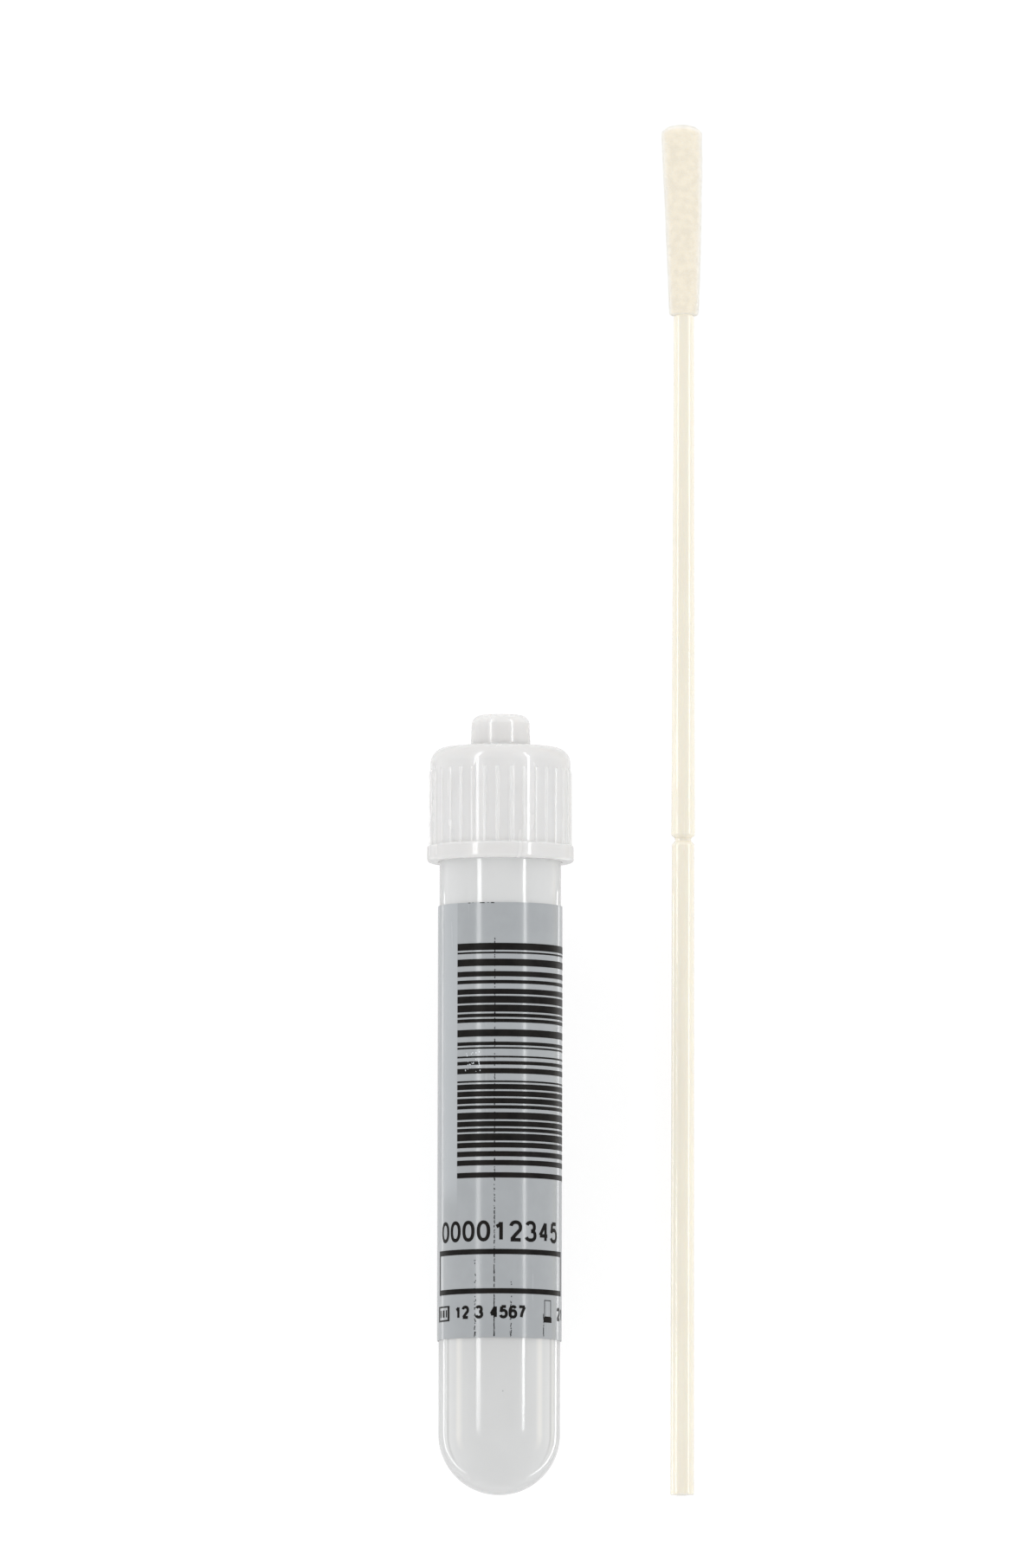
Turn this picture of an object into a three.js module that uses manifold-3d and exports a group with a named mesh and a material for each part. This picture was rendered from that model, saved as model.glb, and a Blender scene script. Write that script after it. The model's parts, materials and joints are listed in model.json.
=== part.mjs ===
// Specimen swab tube: a round-bottomed plastic tube with a wrap label, its ribbed screw cap,
// which has a socket for the broken end of a swab, and the flocked swab that goes with it.
// Millimetres, +Z up. Tube and swab lie side by side on the surface z = 0 as they come to rest,
// with the cap and the flocked end towards +Y. The origin is on that surface, under the middle
// of the set.
import * as THREE from 'three';
import { mergeVertices } from 'three/addons/utils/BufferGeometryUtils.js';
import Module from 'manifold-3d';

const wasm = await Module();
wasm.setup();

// ---------------------------------------------------------------- tube
const TUBE_RADIUS = 6.7; // outside of the plain wall, and of the round bottom
const TUBE_WALL = 1.1;
const TUBE_LENGTH = 80.8; // round bottom to mouth
const NECK_STEP = 0.45; // the threaded neck is this much smaller in radius than the wall
const MOUTH_CHAMFER = 0.3;

// ---------------------------------------------------------------- screw cap
const CAP_HEIGHT = 12.8; // lower edge to the foot of the nipple
const CAP_TOP_WALL = 1.6;
const THREAD_ROOM = 0.5; // radial room between neck and skirt, where the threads are
const SKIRT_WALL = 0.98;
const CORNER_CUT = 0.49; // chamfer inside, where the skirt meets the top
const MOUTH_GAP = 0.3; // tube mouth to the underside of the cap's top
const LEAD_IN_DEPTH = 1.5; // wider start of the skirt, which takes the tube's full radius
const LEAD_IN_CLEARANCE = 0.3;
const SHOULDER_COVER = 0.6; // the skirt comes down this far past the step to the neck
const BAND_HEIGHT = 2.1; // plain band round the lower edge
const BAND_STEP = 0.37; // how far the band stands out from the skirt
const BAND_CHAMFER = 0.22;
const RIB_COUNT = 33;
const RIB_STOP = 0.7; // the ribs end this far below the start of the shoulder
const RIB_WIDTH = 0.42;
const RIB_HEIGHT = 0.29; // how far a rib stands out from the skirt
const RIB_CHAMFER = 0.3;
const RIB_ROOT = 0.33; // how far a rib reaches into the skirt
const RIB_PHASE = THREE.MathUtils.degToRad(3.6);
const SHOULDER_RADIUS = 1.75; // round from the skirt into the crown
const CROWN_RISE = 0.1; // the crown climbs this much from the shoulder to the nipple
const NIPPLE_HEIGHT = 3.5;
const NIPPLE_WALL = 1.92;
const NIPPLE_TAPER = 0.08;
const NIPPLE_ROUND = 1.1;
const NIPPLE_FILLET = 0.35;
const PLUG_DEPTH = 2; // sealing ring that enters the tube's mouth
const PLUG_NOSE = 0.6; // tapered length at the plug's end, which finds the mouth
const PLUG_WALL = 0.85;
const PLUG_CLEARANCE = 0.15;
const SOCKET_REACH = 5; // how far the swab socket hangs below the underside of the top
const SOCKET_CLEARANCE = 0.08;
const SOCKET_LIP = 0.8; // wall left round the socket's wide mouth
const SOCKET_FUNNEL = 4.2;
const SOCKET_END_WALL = 1.2; // plastic left above the blind end

// ---------------------------------------------------------------- label
const LABEL_THICKNESS = 0.13;
const LABEL_CLEARANCE = 0.04;
const LABEL_FOOT = 17; // tube's bottom to the label's lower edge
const LABEL_CAP_GAP = 4.9; // bare tube between the label and the cap
const LABEL_GAP_FACETS = 4; // the label's two ends stop this many tube facets apart

// ---------------------------------------------------------------- swab
const SWAB_LENGTH = 152.2;
const SHAFT_RADIUS = 1.3;
const SHAFT_TAPER = 0.18; // loss of radius towards the flocked end
const CORE_STEP = 0.12; // the core under the flock is this much smaller again
const SNAP_DROP = 0.1; // the snapped swab stands in the tube this far below the mouth
const SNAP_WIDTH = 1;
const SNAP_FLOOR = 0.3; // flat at the bottom of the snap groove
const SNAP_DEPTH = 0.4;
const GRIP_TAPER = 0.06; // loss of radius from the square end up to the snap groove
const TIP_LENGTH = 21.1;
const TIP_PILE = 1.21; // flock over the core at the widest ring
const TIP_BASE_PILE = 0.33; // flock over the shaft at the lower end of the tip
const TIP_ROUND = 1.05; // round at the top edge of the tip
const TIP_STRAIGHT = 0.55; // straight ring under that round, where the tip is widest
const TIP_BULGE = 0.31; // the swelling outline turns at this share of the way up
const TIP_FULLNESS = 0.07; // and this far outside the straight line between its ends
const CORE_CLEARANCE = 0.05;
const CORE_COVER = 1.3; // flock over the end of the core

// ---------------------------------------------------------------- the set
const SIDE_GAP = 9.9; // clear width between the cap and the flocked tip
const FOOT_STEP = 0.5; // the tube's round bottom lies this far past the swab's square end
const TUBE_FACETS = 48;
const CAP_FACETS = 2 * RIB_COUNT;
const SWAB_FACETS = 24;
const ROUND_STEPS = 4;
const DOME_STEPS = 9;

// ---------------------------------------------------------------- sizes that follow
const boreRadius = TUBE_RADIUS - TUBE_WALL;
const neckRadius = TUBE_RADIUS - NECK_STEP;
const capDepth = CAP_HEIGHT - CAP_TOP_WALL;
const capFoot = TUBE_LENGTH + MOUTH_GAP - capDepth;
const capBore = neckRadius + THREAD_ROOM;
const skirtRadius = capBore + SKIRT_WALL;
const bandRadius = skirtRadius + BAND_STEP;
const neckFoot = capFoot + SHOULDER_COVER;
const shoulderHeight = CAP_HEIGHT - CROWN_RISE - SHOULDER_RADIUS;
const ribTop = shoulderHeight - RIB_STOP;
const socketRadius = SHAFT_RADIUS + SOCKET_CLEARANCE;
const nippleRadius = socketRadius + NIPPLE_WALL;
const labelInner = TUBE_RADIUS + LABEL_CLEARANCE;
const labelHeight = capFoot - LABEL_CAP_GAP - LABEL_FOOT;
const shaftTipRadius = SHAFT_RADIUS - SHAFT_TAPER;
const coreRadius = shaftTipRadius - CORE_STEP;
const tipRadius = coreRadius + TIP_PILE;
const tipFoot = SWAB_LENGTH - TIP_LENGTH;
const tipShoulder = TIP_LENGTH - TIP_ROUND - TIP_STRAIGHT;
const snapDistance = TUBE_LENGTH - TUBE_WALL - SNAP_DROP;
const axisSpacing = bandRadius + SIDE_GAP + tipRadius;

// ---------------------------------------------------------------- helpers
// Every turned piece is drawn as (radius, height up its own axis) and turned about +Y.
function at(radius, height) {
  return new THREE.Vector2(radius, height);
}

// Points round a circle, from one angle to another in degrees, both ends included.
function arc(centre, radius, fromDeg, toDeg, steps) {
  const points = [];
  for (let i = 0; i <= steps; i += 1) {
    const angle = THREE.MathUtils.degToRad(fromDeg + ((toDeg - fromDeg) * i) / steps);
    points.push(at(centre.x + radius * Math.cos(angle), centre.y + radius * Math.sin(angle)));
  }
  return points;
}

function turned(profile, facets) {
  return new THREE.LatheGeometry(profile, facets);
}

// A geometry as a solid that can be joined and cut.
function solid(geometry) {
  geometry.deleteAttribute('normal');
  geometry.deleteAttribute('uv');
  const merged = mergeVertices(geometry, 1e-4);
  const index = merged.index.array;
  const kept = [];
  for (let i = 0; i < index.length; i += 3) {
    const [a, b, c] = index.slice(i, i + 3);
    if (a !== b && b !== c && c !== a) kept.push(a, b, c);
  }
  return new wasm.Manifold(new wasm.Mesh({
    numProp: 3,
    vertProperties: Float32Array.from(merged.attributes.position.array),
    triVerts: Uint32Array.from(kept),
  }));
}

function geometryOf(body) {
  const mesh = body.getMesh();
  const geometry = new THREE.BufferGeometry();
  geometry.setAttribute('position', new THREE.BufferAttribute(mesh.vertProperties, 3));
  geometry.setIndex(new THREE.BufferAttribute(mesh.triVerts, 1));
  geometry.computeVertexNormals();
  return geometry;
}

function piece(name, geometry, color, roughness) {
  const material = new THREE.MeshStandardMaterial({ color, roughness, metalness: 0 });
  const mesh = new THREE.Mesh(geometry, material);
  mesh.name = name;
  return mesh;
}

// ---------------------------------------------------------------- tube
function tubeGeometry() {
  const centre = at(0, TUBE_RADIUS);
  return turned([
    ...arc(centre, TUBE_RADIUS, -90, 0, DOME_STEPS),
    at(TUBE_RADIUS, neckFoot),
    at(neckRadius, neckFoot),
    at(neckRadius, TUBE_LENGTH - MOUTH_CHAMFER),
    at(neckRadius - MOUTH_CHAMFER / 2, TUBE_LENGTH),
    at(boreRadius + MOUTH_CHAMFER / 2, TUBE_LENGTH),
    at(boreRadius, TUBE_LENGTH - MOUTH_CHAMFER),
    ...arc(centre, boreRadius, 0, -90, DOME_STEPS),
  ], TUBE_FACETS);
}

// ---------------------------------------------------------------- screw cap
// Outside of the cap, from the middle of the nipple's flat top down to the lower edge.
function capOutside() {
  const nippleTop = CAP_HEIGHT + NIPPLE_HEIGHT;
  const topRadius = nippleRadius - NIPPLE_TAPER;
  const roundCentre = at(topRadius - NIPPLE_ROUND, nippleTop - NIPPLE_ROUND);
  const shoulderCentre = at(skirtRadius - SHOULDER_RADIUS, shoulderHeight);
  return [
    at(0, nippleTop),
    ...arc(roundCentre, NIPPLE_ROUND, 90, 0, ROUND_STEPS),
    at(nippleRadius, CAP_HEIGHT + NIPPLE_FILLET),
    at(nippleRadius + NIPPLE_FILLET, CAP_HEIGHT),
    ...arc(shoulderCentre, SHOULDER_RADIUS, 90, 0, ROUND_STEPS + 1),
    at(skirtRadius, BAND_HEIGHT),
    at(bandRadius - BAND_CHAMFER / 2, BAND_HEIGHT),
    at(bandRadius, BAND_HEIGHT - BAND_CHAMFER / 2),
    at(bandRadius, BAND_CHAMFER),
    at(bandRadius - BAND_CHAMFER, 0),
  ];
}

// Inside of the cap, from the lower edge up to the blind end of the swab socket.
function capInside() {
  const leadIn = TUBE_RADIUS + LEAD_IN_CLEARANCE;
  const plugOuter = boreRadius - PLUG_CLEARANCE;
  const plugInner = plugOuter - PLUG_WALL;
  const socketMouth = capDepth - SOCKET_REACH;
  return [
    at(leadIn, 0),
    at(leadIn, LEAD_IN_DEPTH),
    at(capBore, LEAD_IN_DEPTH + (leadIn - capBore)),
    at(capBore, capDepth - CORNER_CUT),
    at(capBore - CORNER_CUT, capDepth),
    at(plugOuter, capDepth),
    at(plugOuter, capDepth - PLUG_DEPTH + PLUG_NOSE),
    at(plugOuter - PLUG_CLEARANCE, capDepth - PLUG_DEPTH),
    at(plugInner, capDepth - PLUG_DEPTH),
    at(plugInner, capDepth),
    at(nippleRadius, capDepth),
    at(nippleRadius, socketMouth),
    at(nippleRadius - SOCKET_LIP, socketMouth),
    at(socketRadius, socketMouth + SOCKET_FUNNEL),
    at(socketRadius, CAP_HEIGHT + NIPPLE_HEIGHT - SOCKET_END_WALL),
    at(0, CAP_HEIGHT + NIPPLE_HEIGHT - SOCKET_END_WALL),
  ];
}

// One grip rib: its side view, drawn out to the rib's width and turned to its place.
function ribGeometry(angle) {
  const foot = BAND_HEIGHT - RIB_CHAMFER;
  const root = skirtRadius - RIB_ROOT;
  const crest = skirtRadius + RIB_HEIGHT;
  const side = new THREE.Shape([
    at(root, foot),
    at(crest, foot),
    at(crest, ribTop - RIB_CHAMFER),
    at(skirtRadius, ribTop),
    at(root, ribTop),
  ]);
  const rib = new THREE.ExtrudeGeometry(side, { depth: RIB_WIDTH, bevelEnabled: false });
  rib.translate(0, 0, -RIB_WIDTH / 2);
  rib.rotateY(angle);
  return rib;
}

function capGeometry() {
  // The profile runs down the outside and up the inside, so it is turned about backwards.
  const profile = [...capOutside(), ...capInside()].reverse();
  let body = solid(turned(profile, CAP_FACETS));
  for (let i = 0; i < RIB_COUNT; i += 1) {
    const angle = (2 * Math.PI * i) / RIB_COUNT - Math.PI / 2 + RIB_PHASE;
    body = body.add(solid(ribGeometry(angle)));
  }
  return geometryOf(body);
}

// ---------------------------------------------------------------- label
// An open ring of thin sheet. Its two ends leave a gap on the side the tube lies on.
function labelGeometry() {
  const facets = TUBE_FACETS - LABEL_GAP_FACETS;
  const step = (2 * Math.PI) / TUBE_FACETS;
  const outer = [];
  const inner = [];
  for (let i = 0; i <= facets; i += 1) {
    const angle = Math.PI / 2 + (i - facets / 2) * step;
    const outward = at(Math.cos(angle), Math.sin(angle));
    outer.push(outward.clone().multiplyScalar(labelInner + LABEL_THICKNESS));
    inner.unshift(outward.clone().multiplyScalar(labelInner));
  }
  const section = new THREE.Shape([...outer, ...inner]);
  const sheet = new THREE.ExtrudeGeometry(section, { depth: labelHeight, bevelEnabled: false });
  // The section is drawn with its middle at the top and drawn out along +Z: stand it along +Y.
  sheet.rotateX(-Math.PI / 2);
  sheet.rotateY(Math.PI);
  sheet.translate(0, LABEL_FOOT, 0);
  return sheet;
}

// ---------------------------------------------------------------- swab
function shaftGeometry() {
  const snapRadius = SHAFT_RADIUS - SNAP_DEPTH;
  const snap = SWAB_LENGTH - snapDistance;
  return turned([
    at(0, 0),
    at(SHAFT_RADIUS, 0),
    at(SHAFT_RADIUS - GRIP_TAPER, snap - SNAP_WIDTH / 2),
    at(snapRadius, snap - SNAP_FLOOR / 2),
    at(snapRadius, snap + SNAP_FLOOR / 2),
    at(SHAFT_RADIUS, snap + SNAP_WIDTH / 2),
    at(shaftTipRadius, tipFoot - CORE_STEP),
    at(coreRadius, tipFoot),
    at(coreRadius, SWAB_LENGTH - CORE_COVER - coreRadius / 2),
    at(coreRadius / 2, SWAB_LENGTH - CORE_COVER),
    at(0, SWAB_LENGTH - CORE_COVER),
  ], SWAB_FACETS);
}

function tipGeometry() {
  const baseRadius = shaftTipRadius + TIP_BASE_PILE;
  const swell = new THREE.QuadraticBezierCurve(
    at(baseRadius, tipFoot),
    at((baseRadius + tipRadius) / 2 + TIP_FULLNESS, tipFoot + tipShoulder * TIP_BULGE),
    at(tipRadius, tipFoot + tipShoulder),
  );
  const holeRadius = coreRadius + CORE_CLEARANCE;
  const holeEnd = SWAB_LENGTH - CORE_COVER + CORE_CLEARANCE;
  return turned([
    at(holeRadius, tipFoot + CORE_CLEARANCE),
    at(baseRadius - TIP_BASE_PILE / 3, tipFoot),
    ...swell.getPoints(2 * ROUND_STEPS),
    ...arc(at(tipRadius - TIP_ROUND, SWAB_LENGTH - TIP_ROUND), TIP_ROUND, 0, 90, ROUND_STEPS),
    at(0, SWAB_LENGTH),
    at(0, holeEnd),
    at(holeRadius, holeEnd),
    at(holeRadius, tipFoot + CORE_CLEARANCE),
  ], SWAB_FACETS);
}

// ---------------------------------------------------------------- placing
// Lays an assembly whose axis is its own +Y on the surface. It touches with the ring of
// `lowRadius` at `lowHeight` up its axis and the ring of `highRadius` at `highHeight`.
function lay(members, lowRadius, lowHeight, highRadius, highHeight) {
  const tilt = Math.atan2(highRadius - lowRadius, highHeight - lowHeight);
  const group = new THREE.Group();
  group.add(...members);
  group.rotation.x = tilt;
  group.position.z = lowRadius * Math.cos(tilt) - lowHeight * Math.sin(tilt);
  return group;
}

function specimenSwabTube() {
  const tube = piece('tube', tubeGeometry(), 0xd6d7d6, 0.25);
  const label = piece('label', labelGeometry(), 0xaaaeb1, 0.45);
  const cap = piece('screw_cap', capGeometry(), 0xe0dedc, 0.4);
  cap.position.y = capFoot;
  const shaft = piece('swab_shaft', shaftGeometry(), 0xf4eddc, 0.35);
  const tip = piece('swab_tip', tipGeometry(), 0xf3e8d6, 0.95);

  const capped = lay([tube, label, cap], TUBE_RADIUS, TUBE_RADIUS,
    bandRadius, capFoot + BAND_CHAMFER);
  const swab = lay([shaft, tip], SHAFT_RADIUS, 0, tipRadius, tipFoot + tipShoulder);
  swab.position.x = axisSpacing;
  swab.position.y = FOOT_STEP;

  const set = new THREE.Group();
  set.add(capped, swab);
  set.position.x = -(axisSpacing + tipRadius - bandRadius) / 2;
  set.position.y = -(SWAB_LENGTH + FOOT_STEP) / 2;
  return set;
}

export default specimenSwabTube();
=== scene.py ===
"""Specimen swab tube: the finished look of a capped, labelled tube and its flocked swab.

Every piece is drawn about its own axis, which is +Y with +Z to the front, and is then laid
along the axis that the frame gives for the tube or for the swab. Lengths are in metres.
"""
import json
import math

import bpy
from bpy.props import (FloatProperty, FloatVectorProperty, IntProperty, PointerProperty,
                       StringProperty)
from mathutils import Matrix, Quaternion, Vector, noise


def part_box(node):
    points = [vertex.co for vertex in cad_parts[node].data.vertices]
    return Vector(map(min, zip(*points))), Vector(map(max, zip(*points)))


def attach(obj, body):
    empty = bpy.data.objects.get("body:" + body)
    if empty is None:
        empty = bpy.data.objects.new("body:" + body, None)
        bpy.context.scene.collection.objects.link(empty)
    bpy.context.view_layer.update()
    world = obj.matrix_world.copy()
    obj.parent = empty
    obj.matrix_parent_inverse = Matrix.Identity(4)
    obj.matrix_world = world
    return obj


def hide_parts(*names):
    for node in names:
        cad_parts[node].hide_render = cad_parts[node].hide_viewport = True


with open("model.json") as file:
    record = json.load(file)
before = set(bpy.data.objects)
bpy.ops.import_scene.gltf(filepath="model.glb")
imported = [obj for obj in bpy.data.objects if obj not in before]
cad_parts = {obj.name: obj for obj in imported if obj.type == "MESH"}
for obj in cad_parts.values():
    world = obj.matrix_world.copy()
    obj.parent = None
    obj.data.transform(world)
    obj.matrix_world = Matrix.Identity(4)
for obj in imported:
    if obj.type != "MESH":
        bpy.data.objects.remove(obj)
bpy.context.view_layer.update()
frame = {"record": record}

bl_info = {
    "name": "Specimen swab tube",
    "version": (1, 0, 0),
    "blender": (4, 5, 0),
    "location": "3D View > Sidebar > Swab tube",
    "description": "Builds the tube, its screw cap, its printed label and the flocked swab",
    "category": "Add Mesh",
}

MM = 0.001
TURN = 2 * math.pi
ON_AXIS = 1e-7                  # an outline's point nearer the axis than this is on it
SAME_PLACE = 1e-6               # ends of a stroke nearer than this are one point
SOFT = 0.12 * MM                # how far from a moulded corner its round begins
CORNER_ROOM = 0.15 * MM         # from a corner to the row that holds its shading
BEND_STEP = math.radians(2.5)   # widest facet of the bent label and its print
STROKE_STEP = 0.2 * MM          # longest piece of a digit's stroke
ELLIPSE_STEPS = 24              # pieces of an ellipse in a digit
SQUARED = 0.88                  # below 1, a digit's ellipses are a little squarer than true ones
ROW_STEP = 0.1 * MM             # from row to row of a wall that carries a thread
THREAD_START = 1.2 * MM         # from the tube's step to the thread's start
TUBE_THREAD_STOP = 1.3 * MM     # from the thread's end to the tube's mouth
CAP_THREAD_STOP = 1.4 * MM      # from the thread's end to the cap's top wall
NIPPLE_HEIGHT = 3.6 * MM        # the cap's end to its crown, for where its painted shade lies
# Lumps of the flock: the scale of their noise round the tip and up a millimetre, and their
# height.
LUMPS = ((1, 0.55, 0.05 * MM), (4, 2.2, 0.03 * MM))
MAIN_LIGHT, OWN_LIGHT = "main_lamps_light", "shaft_lamps_light"     # which pieces lamps light


# ---------------------------------------------------------------- axes and sizes of the frame
def laid(foot, along):
    """The matrix that lays a piece drawn about +Y, with its front to +Z, along an axis."""
    side = Vector((1, 0, 0))
    front = side.cross(along)
    turned = Matrix((side, along, front)).transposed().to_4x4()
    return Matrix.Translation(foot) @ turned


def height_up(foot, along, y, lean=0.0):
    """Height up an axis of a ring whose edge is at y. lean is the ring's radius where y is its
    lowest edge, and minus that where y is its highest."""
    return (y - foot.y + lean * along.z) / along.y


MOUNTS = {mount["name"]: mount for mount in frame["record"]["mounts"]}
TUBE_LOW, TUBE_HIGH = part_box("tube")
CAP_LOW, CAP_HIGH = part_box("screw_cap")
LABEL_LOW, LABEL_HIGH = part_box("label")
TIP_LOW, TIP_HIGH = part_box("swab_tip")
SHAFT_LOW, SHAFT_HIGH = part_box("swab_shaft")

TUBE_RADIUS = (TUBE_HIGH.x - TUBE_LOW.x) / 2
BAND_RADIUS = (CAP_HIGH.x - CAP_LOW.x) / 2
LABEL_RADIUS = (LABEL_HIGH.x - LABEL_LOW.x) / 2
SHAFT_RADIUS = (SHAFT_HIGH.x - SHAFT_LOW.x) / 2
TIP_RADIUS = (TIP_HIGH.x - TIP_LOW.x) / 2

TUBE_ALONG = Vector(MOUNTS["cap_top"]["axis"]).normalized()
CAP_TOP_POINT = Vector(MOUNTS["cap_top"]["pos_m"])
CAP_TOP = (CAP_TOP_POINT.y - TUBE_LOW.y) / TUBE_ALONG.y
TUBE_FOOT = CAP_TOP_POINT - TUBE_ALONG * CAP_TOP
TUBE_PLACE = laid(TUBE_FOOT, TUBE_ALONG)
SWAB_ALONG = -Vector(MOUNTS["shaft_end"]["axis"]).normalized()
SWAB_FOOT = Vector(MOUNTS["shaft_end"]["pos_m"])
SWAB_PLACE = laid(SWAB_FOOT, SWAB_ALONG)
SWAB_LENGTH = height_up(SWAB_FOOT, SWAB_ALONG, TIP_HIGH.y)
TIP_FOOT = height_up(SWAB_FOOT, SWAB_ALONG, TIP_LOW.y)


# ---------------------------------------------------------------- settings
def length(name, text, millimetres):
    return FloatProperty(name=name, description=text, default=millimetres * MM, min=0,
                         unit="LENGTH", precision=5)


def degrees(name, text, value):
    return FloatProperty(name=name, description=text, default=math.radians(value),
                         subtype="ANGLE")


def colour(name, text, *value):
    return FloatVectorProperty(name=name, description=text, default=(*value, 1), size=4,
                               min=0, max=1, subtype="COLOR")


def number(name, text, value):
    return FloatProperty(name=name, description=text, default=value, min=0)


def count(name, text, value):
    return IntProperty(name=name, description=text, default=value, min=1)


class TubeSizes(bpy.types.PropertyGroup):
    """The round-bottomed tube and the thread on its neck."""
    wall: length("Wall", "Thickness of the tube's wall", 1.1)
    neck_step: length("Neck step", "How much smaller in radius the neck is", 0.45)
    shoulder_cover: length("Shoulder cover", "How far the cap reaches past the step", 0.6)
    mouth_round: length("Mouth round", "Round at the edges of the mouth", 0.3)
    pitch: length("Thread pitch", "Rise of the thread in one turn", 3.0)
    thread_height: length("Thread height", "How far the thread stands off", 0.38)
    thread_base: length("Thread base", "Width of the thread at its foot", 1.15)
    thread_crest: length("Thread crest", "Width of the thread at its crest", 0.45)
    facets: count("Facets", "Facets round the tube", 144)
    plastic: colour("Plastic", "Colour of the clear plastic", 0.780, 0.786, 0.786)


class CapSizes(bpy.types.PropertyGroup):
    """The ribbed screw cap with its nipple, sealing plug and swab socket."""
    height: length("Height", "Lower edge to the foot of the nipple", 12.8)
    top_wall: length("Top wall", "Thickness of the top", 1.6)
    skirt_radius: length("Skirt radius", "Outside radius of the skirt", 7.73)
    bore_radius: length("Bore radius", "Inside radius of the skirt", 6.75)
    lead_in: length("Lead-in", "Clearance of the skirt's wide start round the tube", 0.12)
    lead_in_depth: length("Lead-in depth", "Depth of the skirt's wide start", 1.5)
    band_height: length("Band height", "Height of the plain band at the lower edge", 1.8)
    band_bevel: length("Band bevel", "Bevel of the band's edges", 0.22)
    shoulder: length("Shoulder", "Round from the skirt into the crown", 1.75)
    crown_rise: length("Crown rise", "Rise of the crown to the nipple", 0.1)
    nipple_radius: length("Nipple radius", "Radius at the foot of the nipple", 3.3)
    nipple_taper: length("Nipple taper", "Loss of radius up the nipple", 0.08)
    nipple_round: length("Nipple round", "Round at the nipple's top edge", 1.1)
    plug_depth: length("Plug depth", "Length of the sealing ring", 2.0)
    plug_radius: length("Plug radius", "Outside radius of the sealing ring", 5.45)
    plug_wall: length("Plug wall", "Thickness of the sealing ring", 0.85)
    socket_radius: length("Socket radius", "Radius of the hole for the swab", 1.38)
    socket_reach: length("Socket reach", "Length of the sleeve below the top", 5.0)
    socket_lip: length("Socket lip", "Wall at the sleeve's wide mouth", 0.8)
    socket_funnel: length("Socket funnel", "Length of the sleeve's taper", 4.2)
    socket_end: length("Socket end", "Plastic above the blind end", 1.2)
    ribs: count("Ribs", "Number of grip ribs", 33)
    rib_height: length("Rib height", "How far a rib stands out", 0.17)
    rib_width: length("Rib width", "Width of a rib at its foot", 0.44)
    rib_stop: length("Rib stop", "Gap from the ribs to the shoulder", 0.8)
    rib_phase: degrees("Rib phase", "Turn of the ribs round the cap", 8.8)
    facets: count("Facets", "Facets round the cap", 144)
    plastic: colour("Plastic", "Colour of the milky plastic", 0.792, 0.785, 0.778)


class LabelSizes(bpy.types.PropertyGroup):
    """The wrap label and the print on it. Heights are from the label's lower edge, and angles
    from its front."""
    thickness: length("Thickness", "Thickness of the film", 0.13)
    gap: degrees("Gap", "Gap between the label's two ends, at the back", 30)
    ink: length("Ink", "How far the ink stands off the film", 0.012)
    bars_foot: length("Bars foot", "Lower end of the bars", 17.6)
    bars_top: length("Bars top", "Upper end of the bars", 43.5)
    bars_from: degrees("Bars from", "Left end of the bars", -43)
    bars_to: degrees("Bars to", "Right end of the bars", 100)
    bars: count("Bars", "Number of bars", 29)
    bars_seed: count("Bars seed", "Seed of the bars' random widths", 5)
    number: StringProperty(name="Number", description="Plain digits of the large row",
                           default="000012345")
    number_from: degrees("Number from", "Left end of the large row", -66.5)
    number_foot: length("Number foot", "Lower edge of the large row", 10.56)
    number_height: length("Number height", "Height of the large digits", 2.34)
    number_width: length("Number width", "Width of the large digits", 1.55)
    number_pitch: length("Number pitch", "Step from digit to digit", 1.8)
    number_stroke: length("Number stroke", "Width of the large digits' strokes", 0.40)
    box_foot: length("Box foot", "Lower edge of the empty box", 4.83)
    box_top: length("Box top", "Upper edge of the empty box", 9.74)
    box_line: length("Box line", "Width of the box's long lines", 0.58)
    box_side: length("Box side", "Width of the box's short lines", 0.25)
    box_from: degrees("Box from", "Left side of the box", -73)
    box_to: degrees("Box to", "Right side of the box", 78.5)
    note: StringProperty(name="Note", description="Plain digits of the small row",
                         default="12 3 4567")
    note_from: degrees("Note from", "Left end of the small row", -46)
    note_end: StringProperty(name="Note end", description="Last plain digits of the small row",
                             default="21")
    note_end_from: degrees("Note end from", "Left end of the last digits", 66.5)
    note_foot: length("Note foot", "Lower edge of the small row", 2.07)
    note_height: length("Note height", "Height of the small digits", 1.48)
    note_width: length("Note width", "Width of the small digits", 1.0)
    note_pitch: length("Note pitch", "Step from digit to digit", 1.05)
    note_stroke: length("Note stroke", "Width of the small digits' strokes", 0.33)
    specks_seed: count("Specks seed", "Seed of the stray ink specks", 3)
    film: colour("Film", "Colour of the film", 0.356, 0.375, 0.391)
    black: colour("Ink colour", "Colour of the ink", 0.004, 0.0034, 0.003)


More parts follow.
